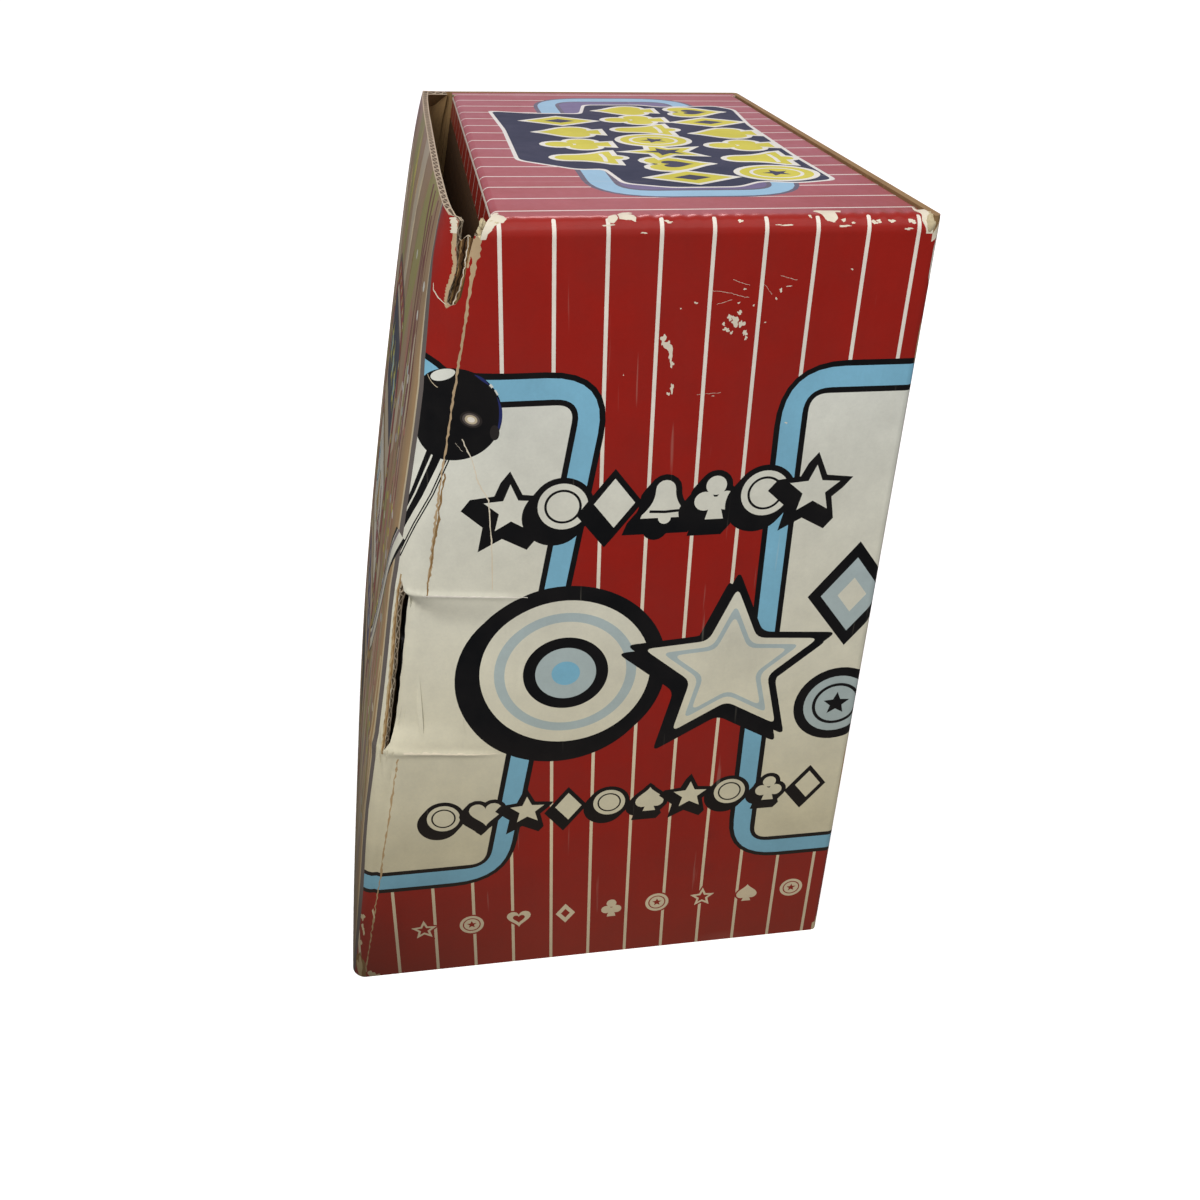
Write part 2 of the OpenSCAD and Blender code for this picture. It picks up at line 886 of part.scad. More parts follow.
module reel_axle() {
    color("gainsboro")
        bar_y(axle_r, inner_y0, inner_y1, reel_x, reel_z);
}

// Ring along Y
module ring_y(r_out, r_in, y0, y1, x, z) {
    difference() {
        bar_y(r_out, y0, y1, x, z);
        bar_y(r_in, y0 - over, y1 + over, x, z);
    }
}

module axle_clips() {
    color("dimgray")
        for (y = [inner_y0 + frame_t, inner_y1 - frame_t - clip_t])
            ring_y(axle_r + 2.5, axle_r, y, y + clip_t, reel_x, reel_z);
}

// Star wheel outline with one shallow tooth per point
module star_outline() {
    polygon([for (i = [0 : 2 * star_n - 1])
        let (r = i % 2 == 0 ? star_r : star_r - 4, a = 180 * i / star_n)
        [r * cos(a), r * sin(a)]]);
}

// Reel: rim, pierced web, hub and star wheel, turned about its own axle
module reel(k) {
    yc = cab_yc + k * reel_pitch;
    rim_r = reel_r - strip_t;
    rim_t = 2.2;
    web_y = 2;
    web_holes = 5;
    hole_r = (rim_r - rim_t - hub_r) / 2 - 2.5;
    color("ivory")
        translate([reel_x, yc, reel_z])
            difference() {
                union() {
                    ring_y(rim_r, rim_r - rim_t, -reel_w / 2, reel_w / 2, 0, 0);
                    difference() {
                        bar_y(rim_r - rim_t + 0.5, -web_y / 2, web_y / 2, 0, 0);
                        for (i = [0 : web_holes - 1])
                            rotate([0, 360 * i / web_holes, 0])
                                bar_y(hole_r, -over * 2, over * 2, (rim_r - rim_t + hub_r) / 2, 0);
                    }
                    bar_y(hub_r, hub_y0, hub_y1, 0, 0);
                    along_y(star_y, star_y + star_t)
                        star_outline();
                }
                bar_y(axle_r + run_gap, hub_y0 - over, hub_y1 + over, 0, 0);
            }
}

module left_reel() {
    reel(1);
}

module middle_reel() {
    reel(0);
}

module right_reel() {
    reel(-1);
}

// Printed band round a reel's rim
module reel_strip(k) {
    yc = cab_yc + k * reel_pitch;
    inset = 0.5;
    color("white")
        ring_y(reel_r, reel_r - strip_t, yc - reel_w / 2 + inset, yc + reel_w / 2 - inset, reel_x, reel_z);
}

module left_strip() {
    reel_strip(1);
}

module middle_strip() {
    reel_strip(0);
}

module right_strip() {
    reel_strip(-1);
}

// Tubes on the axle between the clips and the reel hubs
module reel_spacers() {
    ends = [inner_y0 + frame_t + clip_t, for (k = [-1 : 1]) cab_yc + k * reel_pitch + hub_y1];
    starts = [for (k = [-1 : 1]) cab_yc + k * reel_pitch + hub_y0, inner_y1 - frame_t - clip_t];
    color("dimgray")
        for (i = [0 : 3])
            ring_y(axle_r + 2, axle_r, ends[i] + fit_gap, starts[i] - fit_gap, reel_x, reel_z);
}

// Collar on a bar with a flat arm of the given reach, turned by angle from +Z towards +X
module collar_arm(bore, reach, y0, y1, thick, angle) {
    along_y(y0, y1)
        difference() {
            union() {
                circle(r = bore + 2);
                rotate(90 - angle)
                    translate([0, -thick / 2])
                        square([reach, thick]);
            }
            circle(r = bore);
        }
}

module detent_springs() {
    reach = norm([reel_x - tie_x, reel_z - tie_z]) - star_r - 0.4;
    angle = atan2(reel_x - tie_x, reel_z - tie_z);
    color("gainsboro")
        for (k = [-1 : 1])
            translate([tie_x, cab_yc + k * reel_pitch, tie_z])
                collar_arm(tie_r, reach, star_y, star_y + star_t, 0.8, angle);
}

// Lever and kicker

module lever_bush() {
    color("silver")
        difference() {
            union() {
                bar_y(bush_r + 7, cab_y0 - bush_flange, cab_y0, shaft_x, shaft_z);
                bar_y(bush_r, cab_y0 - over / 2, inner_y0 + frame_t, shaft_x, shaft_z);
            }
            bar_y(shaft_r + run_gap, cab_y0 - bush_flange - over, inner_y0 + frame_t + over, shaft_x, shaft_z);
        }
}

module lever_shaft() {
    color("gainsboro")
        bar_y(shaft_r, arm_y - 4, inner_y1, shaft_x, shaft_z);
}

// Place children at the shaft, turned to the lever's rest tilt
module at_lever() {
    translate([shaft_x, 0, shaft_z])
        rotate([0, lever_rest, 0])
            children();
}

module lever_hub() {
    barrel_r = 8;
    color("silver")
        at_lever()
            difference() {
                union() {
                    bar_y(11, hub_y - 4, hub_y, 0, 0);
                    bar_y(barrel_r, arm_y - 7, hub_y, 0, 0);
                    translate([0, arm_y, 0])
                        cylinder(r = arm_r + 2.2, h = 13);
                }
                bar_y(shaft_r, arm_y - 4, hub_y + over, 0, 0);
                translate([0, arm_y, shaft_r + 2])
                    cylinder(r = arm_r, h = 13);
            }
}

module lever_arm() {
    color("silver")
        at_lever()
            translate([0, arm_y, shaft_r + 2])
                cylinder(r = arm_r, h = lever_len - shaft_r - 2);
}

module lever_knob() {
    color("black")
        at_lever()
            translate([0, arm_y, lever_len])
                difference() {
                    union() {
                        sphere(r = knob_r);
                        translate([0, 0, -knob_r - 3])
                            cylinder(r1 = arm_r + 1.2, r2 = arm_r + 3, h = 6);
                    }
                    translate([0, 0, -knob_r - 4])
                        cylinder(r = arm_r, h = knob_r + 4);
                }
}

module kicker_fingers() {
    color("gainsboro")
        for (k = [-1 : 1])
            translate([shaft_x, cab_yc + k * reel_pitch, shaft_z])
                collar_arm(shaft_r, kicker_r, star_y, star_y + star_t, 3, kicker_rest);
}

module spring_sleeve() {
    y0 = inner_y0 + frame_t + fit_gap;
    color("dimgray")
        ring_y(sleeve_r, shaft_r, y0, y0 + sleeve_l, shaft_x, shaft_z);
}

// Centre line of the torsion spring: a leg, the coil and a second leg
function spring_path(turns, pitch, leg, steps) =
    concat(
        [[coil_r, 0, -leg]],
        [for (i = [0 : turns * steps])
            let (a = 360 * i / steps)
            [coil_r * cos(a), pitch * i / steps, coil_r * sin(a)]],
        [[coil_r, pitch * turns, leg]]
    );

// Tube of the given radius swept along a list of points, with mitred rings
module swept_wire(path, r, sides = 6) {
    n = len(path);
    function heading(i) = unit(path[min(i + 1, n - 1)] - path[max(i - 1, 0)]);
    rings = [for (i = [0 : n - 1])
        let (
            t = heading(i),
            s = unit(cross(t, [0, 1, 0.02])),
            u = cross(s, t)
        )
        for (j = [0 : sides - 1])
            path[i] + r * (cos(360 * j / sides) * s + sin(360 * j / sides) * u)];
    side_faces = [for (i = [0 : n - 2], j = [0 : sides - 1])
        let (a = i * sides + j, b = i * sides + (j + 1) % sides)
        [a, b, b + sides, a + sides]];
    ends = [[for (j = [sides - 1 : -1 : 0]) j], [for (j = [0 : sides - 1]) (n - 1) * sides + j]];
    polyhedron(points = rings, faces = concat(side_faces, ends));
}

module return_spring() {
    pitch = 2.2 * wire_r;
    y0 = inner_y0 + frame_t + 2 * fit_gap + 2 * wire_r;
    color("silver")
        translate([shaft_x, y0, shaft_z])
            swept_wire(spring_path(spring_turns, pitch, 12, 16), wire_r);
}

near_side_panel();
front_panel();
back_panel();
far_side_panel();
glue_flap();
near_bottom_flap();
far_bottom_flap();
front_bottom_flap();
back_bottom_flap();
lid_panel();
tuck_flap();
front_ear();
back_ear();
packing_tray();
lever_spacer();
cabinet_shell();
base_plate();
rubber_feet();
rear_cover();
cover_screws();
base_screws();
window_bezel();
window_pane();
marquee_frame();
marquee_face();
coin_slot_plate();
coin_chute();
payout_cup();
payout_flap();
coin_plug();
near_frame_plate();
far_frame_plate();
frame_tie_bar();
reel_axle();
axle_clips();
left_reel();
middle_reel();
right_reel();
left_strip();
middle_strip();
right_strip();
reel_spacers();
detent_springs();
lever_bush();
lever_shaft();
lever_hub();
lever_arm();
lever_knob();
kicker_fingers();
spring_sleeve();
return_spring();
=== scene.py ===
"""Looks of a boxed toy slot machine bank.

The carton is white-lined corrugated board with a varnished print, worn along its folds and torn at its
front edge. The bank stands inside it, and shows when the lid is open.

Lengths are millimetres until a mesh is made, where they become metres. The near side of the carton is
the plane y = near_y, its front is the picture panel, and heights are z above the table.
"""

import json
import logging
import math
from collections.abc import Callable
from dataclasses import dataclass, field
from enum import Enum

import bpy
import numpy as np
from mathutils import Matrix, Vector
from mathutils.geometry import delaunay_2d_cdt

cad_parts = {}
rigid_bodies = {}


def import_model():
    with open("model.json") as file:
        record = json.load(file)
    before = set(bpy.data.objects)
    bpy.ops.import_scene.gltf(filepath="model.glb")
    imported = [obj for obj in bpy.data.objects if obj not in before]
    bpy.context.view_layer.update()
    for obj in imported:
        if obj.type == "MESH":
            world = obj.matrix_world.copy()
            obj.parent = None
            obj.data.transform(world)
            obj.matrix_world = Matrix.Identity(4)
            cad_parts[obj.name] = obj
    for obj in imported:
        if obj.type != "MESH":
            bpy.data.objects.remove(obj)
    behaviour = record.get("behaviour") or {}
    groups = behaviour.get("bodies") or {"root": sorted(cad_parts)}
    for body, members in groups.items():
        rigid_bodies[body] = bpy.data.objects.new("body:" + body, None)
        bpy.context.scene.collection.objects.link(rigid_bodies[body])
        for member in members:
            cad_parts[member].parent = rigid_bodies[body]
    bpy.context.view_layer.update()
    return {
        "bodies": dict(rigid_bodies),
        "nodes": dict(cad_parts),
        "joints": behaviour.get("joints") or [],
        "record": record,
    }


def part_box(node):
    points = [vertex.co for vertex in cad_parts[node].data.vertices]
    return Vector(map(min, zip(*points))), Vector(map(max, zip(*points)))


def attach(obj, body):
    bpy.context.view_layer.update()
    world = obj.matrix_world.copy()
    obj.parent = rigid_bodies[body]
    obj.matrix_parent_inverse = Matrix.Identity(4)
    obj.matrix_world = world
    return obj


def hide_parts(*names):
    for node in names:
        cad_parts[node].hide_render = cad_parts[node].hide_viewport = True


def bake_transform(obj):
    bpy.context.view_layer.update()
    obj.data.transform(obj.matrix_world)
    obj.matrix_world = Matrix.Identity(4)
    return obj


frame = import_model()

log = logging.getLogger("boxed_bank")
logging.basicConfig(level=logging.INFO, format="%(message)s")

# Metres in a millimetre, the first random seed, and how far the printed paper stands over the CAD's faces
MM = 0.001
SEED = 1978
LINER = 0.08

Array = np.ndarray
Point = tuple[float, float]
Place = tuple[float, float, float]
Material = bpy.types.Material
Socket = bpy.types.NodeSocket
Node = bpy.types.Node
Group = bpy.types.ShaderNodeTree
Piece = bpy.types.Object


class Ink(Enum):
    """The printing inks and the bare papers, as sRGB colours."""

    RED = "#9d2119"
    CREAM = "#e7e9e0"
    CHALK = "#ffffff"
    STRIPE = "#f1eadf"
    SKY = "#86c2df"
    PALE_BLUE = "#b7c9cf"
    BLACK = "#0c0d10"
    NAVY = "#1a2c48"
    PURPLE = "#443f78"
    YELLOW = "#d2cc38"
    OLIVE = "#a49d58"
    RUSSET = "#7a3f35"
    ROSE = "#b67c66"
    BROWN = "#ac8f6b"
    STONE = "#cdbfa2"
    SLATE = "#847c82"
    EDGE = "#6d6663"
    GOLD = "#c09a3c"
    GREEN = "#3f6b3a"
    PAPER = "#e6decb"
    TORN = "#bfa684"
    PULP = "#cbbd9a"
    KRAFT = "#94764d"
    FLUTE = "#5a4128"
    # Near black, for painted shade in the hollows of the board.
    HOLLOW_SHADE = "#2a1c10"
    ULTRAMARINE = "#26306b"
    SOOT = "#2b2726"
    ASH = "#5f5754"

    @property
    def rgba(self) -> tuple[float, ...]:
        """Gives the colour in scene-linear values.

        Returns:
            The red, green and blue shares, and an opaque alpha.
        """
        code = self.value.lstrip("#")
        srgb = np.array([int(code[i : i + 2], 16) for i in (0, 2, 4)]) / 255.0
        linear = np.where(srgb <= 0.04045, srgb / 12.92, ((srgb + 0.055) / 1.055) ** 2.4)
        return (*map(float, linear), 1.0)


class Motif(Enum):
    """The plain figures that the print uses."""

    STAR = "star"
    COIN = "coin"
    DIAMOND = "diamond"
    BELL = "bell"
    HEART = "heart"
    CLOVER = "clover"
    SPADE = "spade"
    CHERRY = "cherry"


def motifs(words: str) -> list[Motif]:
    """The figures that a row of words names."""
    return [Motif(word) for word in words.split()]


@dataclass(frozen=True)
class CartonSizes:
    """The carton's own sizes, read from the frame, in millimetres."""

    near_y: float
    far_y: float
    back_x: float
    height: float
    board: float
    lean: float
    foot_x: float
    fold_z: float
    lid_x0: float
    lid_x1: float
    tuck_y: float
    ear_foot_z: float
    roll: float = 3.1

    @classmethod
    def from_frame(cls) -> "CartonSizes":
        """Reads the boxes of the board nodes.

        Returns:
            The carton's sizes.
        """
        near = [np.array(c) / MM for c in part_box("near_side_panel")]
        back = [np.array(c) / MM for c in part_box("back_panel")]
        far = [np.array(c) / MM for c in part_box("far_side_panel")]
        lid = [np.array(c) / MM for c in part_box("lid_panel")]
        ear = [np.array(c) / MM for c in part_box("front_ear")]
        tuck = [np.array(c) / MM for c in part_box("tuck_flap")]
        board = float(near[1][1] - near[0][1])
        lean = math.radians(10.5)
        return cls(
            near_y=float(near[0][1]),
            far_y=float(far[1][1]),
            back_x=float(back[1][0]),
            height=float(lid[1][2]),
            board=board,
            lean=lean,
            foot_x=float(far[0][0]) - board / math.cos(lean),
            fold_z=float(lid[1][2]) - board,
            lid_x0=float(lid[0][0]),
            lid_x1=float(lid[1][0]),
            tuck_y=float(tuck[1][1]),
            ear_foot_z=float(ear[0][2]),
        )

    @property
    def width(self) -> float:
        """The width of the front and back panels."""
        return self.far_y - self.near_y

    def front_x(self, z: Array | float) -> Array | float:
        """The front fold's x at a height: foot_x plus the height times the tangent of the lean."""
        return self.foot_x + np.tan(self.lean) * z


def box_loop(u0: float, v0: float, u1: float, v1: float) -> Array:
    """An upright rectangle from its low corner to its high corner."""
    return np.array([(u0, v0), (u1, v0), (u1, v1), (u0, v1)], float)


def polar(centre: Point, radius: Array | float, angle: Array, squash: float = 1.0) -> Array:
    """Points at angles round a centre: centre plus radius times (cos, squash times sin) of each angle."""
    return np.stack([centre[0] + radius * np.cos(angle), centre[1] + squash * radius * np.sin(angle)], 1)


def disc(centre: Point, radius: float, count: int = 40, squash: float = 1.0) -> Array:
    """A circle, or an ellipse whose upright radius is squash times the other."""
    return polar(centre, radius, np.linspace(0, 2 * math.pi, count, endpoint=False), squash)


def turned(loop: Array, angle: float, centre: Point = (0.0, 0.0)) -> Array:
    """Turns an outline anticlockwise about a point.

    Args:
        loop: The outline.
        angle: The angle in degrees.
        centre: The point it turns about.

    Returns:
        The turned outline.
    """
    cos, sin = math.cos(math.radians(angle)), math.sin(math.radians(angle))
    return (loop - centre) @ np.array([[cos, sin], [-sin, cos]]) + centre


def offset(loop: Array, distance: float) -> Array:
    """Moves each side of an outline outwards, keeping its corners mitred.

    A corner moves along the sum of its two side normals, divided by one plus their dot product, which is
    the mitre, and the mitre is held to three times the distance.

    Args:
        loop: The outline, either way round.
        distance: How far the sides move outwards.

    Returns:
        The new outline.
    """
    following = np.roll(loop, -1, 0)
    area = np.sum(loop[:, 0] * following[:, 1] - following[:, 0] * loop[:, 1])
    side = following - loop
    length = np.maximum(np.linalg.norm(side, axis=1, keepdims=True), 1e-9)
    normal = np.stack([side[:, 1], -side[:, 0]], 1) / length * np.sign(area)
    before = np.roll(normal, 1, 0)
    mitre = (normal + before) / np.maximum(1 + np.sum(normal * before, 1, keepdims=True), 0.35)
    return loop + mitre * distance


def rounded(loop: Array, radius: float | Array, steps: int = 6) -> Array:
    """Rounds each corner of an outline with a quadratic curve.

    The curve runs from a point one radius before the corner to one radius after it, with the corner as its
    control point: (1-t)^2 a + 2t(1-t) corner + t^2 b.

    Args:
        loop: The outline.
        radius: The distance cut from each side, one value or one for each corner.
        steps: The number of pieces in each curve.

    Returns:
        The rounded outline.
    """
    before, after = np.roll(loop, 1, 0) - loop, np.roll(loop, -1, 0) - loop
    reach = np.broadcast_to(np.asarray(radius, float), (len(loop),))[:, None]

    def start(way: Array) -> Array:
        """The point on a side where its curve starts, at most half the side from the corner."""
        length = np.maximum(np.linalg.norm(way, axis=1, keepdims=True), 1e-9)
        return loop + way / length * np.minimum(reach, length * 0.49)

    a, b = start(before), start(after)
    t = np.linspace(0, 1, steps + 1)[None, :, None]
    curve = (1 - t) ** 2 * a[:, None] + 2 * t * (1 - t) * loop[:, None] + t**2 * b[:, None]
    return curve.reshape(-1, 2)


def star(centre: Point, radius: float, turn: float = 0.0, waist: float = 0.45) -> Array:
    """A five-pointed star: ten points at even angles, with radii taking turns between full and waist."""
    reach = np.where(np.arange(10) % 2 == 0, radius, radius * waist)
    return polar(centre, reach, np.radians(90 + turn) + np.arange(10) * math.pi / 5)


def diamond(centre: Point, radius: float) -> Array:
    """A card diamond: four points, taller than wide."""
    return np.array([(0, 1), (0.76, 0), (0, -1), (-0.76, 0)]) * radius + centre


def heart(centre: Point, radius: float, turn: float = 0.0) -> Array:
    """A heart: x = 16 sin^3 t, y = 13 cos t - 5 cos 2t - 2 cos 3t - cos 4t, scaled to the radius.

    Args:
        centre: The middle.
        radius: Half the width.
        turn: The angle it is turned by, in degrees.

    Returns:
        The outline.
    """
    t = np.linspace(0, 2 * math.pi, 32, endpoint=False)
    x = 16 * np.sin(t) ** 3
    y = 13 * np.cos(t) - 5 * np.cos(2 * t) - 2 * np.cos(3 * t) - np.cos(4 * t)
    return turned(np.stack([x, y + 2], 1) / 16 * radius, turn) + centre


def bell(centre: Point, radius: float) -> Array:
    """A bell: half width 0.4 + 0.52 (1-h)^2.2, with h from 0 at the lip to 1, closed by a round crown.

    Args:
        centre: The middle.
        radius: Half the height.

    Returns:
        The outline.
    """
    h = np.linspace(0, 1, 10)
    half = 0.4 + 0.52 * (1 - h) ** 2.2
    right = np.stack([half, -0.62 + 1.1 * h], 1)
    crown = disc((0, 0.48), 0.4, 16)[1:8]
    right = np.vstack([[(0.98, -0.78)], right])
    left = right[::-1] * (-1, 1)
    return np.vstack([right, crown, left]) * radius + centre


def strand(path: Array, width: float | Array) -> Array:
    """A band along a path: the path moved by half the width to either side of its own direction.

    Args:
        path: The middle of the band.
        width: The full width, one value or one for each point.

    Returns:
        The band's outline.
    """
    path = np.asarray(path, float)
    way = np.gradient(path, axis=0)
    way /= np.maximum(np.linalg.norm(way, axis=1, keepdims=True), 1e-9)
    side = np.stack([-way[:, 1], way[:, 0]], 1) * np.broadcast_to(width, (len(path),))[:, None] / 2
    return np.vstack([path + side, (path - side)[::-1]])


def arc(centre: Point, radius: float, start: float, end: float, count: int = 24) -> Array:
    """Points along an arc, from a start angle to an end angle in degrees."""
    return polar(centre, radius, np.radians(np.linspace(start, end, count)))


def resampled(path: Array, density: int) -> Array:
    """A path with so many points for each of its own, at even steps along them."""
    t = np.linspace(0, len(path) - 1, density * len(path))
    return np.stack([np.interp(t, np.arange(len(path)), path[:, k]) for k in (0, 1)], 1)


def ragged(
    centre: Point,
    reach: Point,
    rng: np.random.Generator,
    roughness: float = 0.28,
    count: int = 22,
) -> Array:
    """A torn or chipped spot: an ellipse whose radius carries six seeded waves of falling height.

    Args:
        centre: The middle.
        reach: The half width and the half height.
        rng: The random numbers.
        roughness: The height of the first wave, as a share of the radius.
        count: The number of points.

    Returns:
        The outline.
    """
    angle = np.linspace(0, 2 * math.pi, count, endpoint=False)
    wave = np.arange(2, 8)[:, None]
    phase = rng.uniform(0, 2 * math.pi, (6, 1))
    height = roughness * rng.uniform(0.4, 1.0, (6, 1)) * 2 / wave
    radius = 1 + np.sum(height * np.cos(wave * angle + phase), 0)
    across, up = reach[0] * radius * np.cos(angle), reach[1] * radius * np.sin(angle)
    return np.stack([centre[0] + across, centre[1] + up], 1)


def inside(points: Array, loop: Array) -> Array:
    """Tells which points lie in an outline, by the even-odd rule.

    Args:
        points: The points.
        loop: The outline.

    Returns:
        True where a line from the point towards +u crosses the outline an odd number of times.
    """
    result = np.zeros(len(points), bool)
    low, high = loop.min(0), loop.max(0)
    near = np.flatnonzero(np.all((points >= low) & (points <= high), 1))
    if not len(near):
        return result
    u, v = points[near, 0][:, None], points[near, 1][:, None]
    a, b = loop[None], np.roll(loop, -1, 0)[None]
    crosses = (a[..., 1] > v) != (b[..., 1] > v)
    rise = np.where(np.abs(b[..., 1] - a[..., 1]) < 1e-12, 1e-12, b[..., 1] - a[..., 1])
    at = a[..., 0] + (v - a[..., 1]) * (b[..., 0] - a[..., 0]) / rise
    result[near] = np.sum(crosses & (u < at), 1) % 2 == 1
    return result


@dataclass
class Patch:
    """One inked or bared area of a sheet. Gloss runs from 0 for bare paper to 1 for full varnish."""

    loop: Array
    ink: Ink
    gloss: float = 1.0


def nested(loop: Array, steps: tuple[tuple[float, Ink], ...], radius: float, curve: int = 4) -> list[Patch]:
    """Insets of one outline, each with its distance and ink, with rounded corners."""
    return [Patch(rounded(offset(loop, -inset), radius, curve), ink) for inset, ink in steps]


def banded(loop: Array, steps: tuple[tuple[float, Ink], ...], corner: float, least: float) -> list[Patch]:
    """Insets whose corners tighten inwards: each is cut by 1.5 times (corner - inset), or 1.5 times least."""
    cuts = [max(corner - inset, least) * 1.5 for inset, _ in steps]
    return [Patch(rounded(offset(loop, -inset), cut, 8), ink) for (inset, ink), cut in zip(steps, cuts)]


def rings(centre: Point, steps: tuple[tuple[float, Ink], ...], count: int) -> list[Patch]:
    """Discs round one centre, each with its radius and ink."""
    return [Patch(disc(centre, radius, count), ink) for radius, ink in steps]


def stamped(
    kind: Motif,
    centre: Point,
    radius: float,
    body: Ink = Ink.CREAM,
    line: Ink = Ink.BLACK,
    detail: Ink = Ink.SKY,
    edge: float = 1.1,
    shadow: float = 0.0,
) -> list[Patch]:
    """One figure of the print: its shadow, its outline, its body and its inner detail.

    Args:
        kind: The figure.
        centre: Its middle.
        radius: Its half height.
        body: The ink of its body.
        line: The ink of its outline and shadow.
        detail: The ink of its inner detail.
        edge: The outline's width, or 0 for none.
        shadow: How far the shadow falls to the lower left, or 0 for none.

    Returns:
        The patches, from the lowest to the uppermost.
    """
    c, r = np.array(centre), radius

    def at(x: float, y: float) -> Point:
        """A place given in radii from the figure's middle."""
        return tuple(c + np.array((x, y)) * r)

    inner: list[tuple[Array, Ink]] = []
    if kind is Motif.STAR:
        shapes = [star(centre, r * 1.1)]
        inner = [(star(centre, r * 0.62), detail)]
    elif kind is Motif.COIN:
        shapes = [disc(centre, r)]
        inner = [(disc(centre, r * 0.74), line), (disc(centre, r * 0.64), body)]
        inner.append((star(centre, r * 0.42), detail))
    elif kind is Motif.DIAMOND:
        shapes = [diamond(centre, r * 1.08)]
        inner = [(diamond(centre, r * 0.5), detail)]
    elif kind is Motif.BELL:
        shapes = [disc(at(0, -0.8), r * 0.26, 16), bell(centre, r)]
        inner = [(strand(np.array([(-0.62, -0.48), (0, -0.52), (0.62, -0.48)]) * r + c, r * 0.12), line)]
    elif kind is Motif.HEART:
        shapes = [heart(centre, r)]
        inner = [(heart(centre, r * 0.5), detail)]
    elif kind is Motif.SPADE:
        stem = np.array([(-0.14, -0.2), (0.14, -0.2), (0.4, -1.0), (-0.4, -1.0)]) * r + c
        shapes = [stem, heart(at(0, 0.12), r * 0.9, 180)]
    elif kind is Motif.CLOVER:
        stem = np.array([(-0.12, 0), (0.12, 0), (0.38, -1.0), (-0.38, -1.0)]) * r + c
        shapes = [stem] + [disc(at(*p), r * 0.42, 20) for p in ((0, 0.5), (-0.44, -0.18), (0.44, -0.18))]
    else:
        ways = [np.array([(x, -0.3), (x * 0.5, 0.35), (0.2, 0.95)]) * r + c for x in (-0.45, 0.5)]
        leaf = turned(disc((0.48 * r, 0.86 * r), r * 0.34, 16, 0.45), 18, (0.2 * r, 0.9 * r)) + c
        fruit = [disc(at(*p), r * 0.42, 24) for p in ((-0.48, -0.52), (0.5, -0.46))]
        shapes = [*(strand(way, r * 0.13) for way in ways), leaf, *fruit]
        inner = [(disc(at(*p), r * 0.11, 10), detail) for p in ((-0.6, -0.36), (0.38, -0.3))]
    patches: list[Patch] = []
    if shadow > 0:
        fall = np.array((-0.8, -1.0)) * shadow
        for loop in (offset(s, edge) for s in shapes):
            after = np.roll(loop, -1, 0)
            swept = np.stack([loop, after, after + fall, loop + fall], 1)
            patches += [Patch(loop + fall, line), *(Patch(side, line) for side in swept)]
    if edge > 0:
        patches += [Patch(offset(s, edge), line) for s in shapes]
    patches += [Patch(s, body) for s in shapes]
    return patches + [Patch(loop, ink) for loop, ink in inner]


def row(names: str, start: Point, step: Point, radius: float, **looks: object) -> list[Patch]:
    """Stamps a row of named figures, from the first one's middle on by even steps.

    Args:
        names: The figures' names.
        start: The first one's middle.
        step: The step from one to the next.
        radius: Their half height.
        looks: Their inks, outline and shadow, as stamped() takes them.

    Returns:
        The patches.
    """
    patches: list[Patch] = []
    for i, kind in enumerate(motifs(names)):
        patches += stamped(kind, (start[0] + step[0] * i, start[1] + step[1] * i), radius, **looks)
    return patches


def lines_at(places: list[float] | Array, low: float, high: float) -> list[Array]:
    """Straight guides across a sheet, at places along its first axis, from a low to a high end."""
    return [np.array([(u, low), (u, high)]) for u in places]


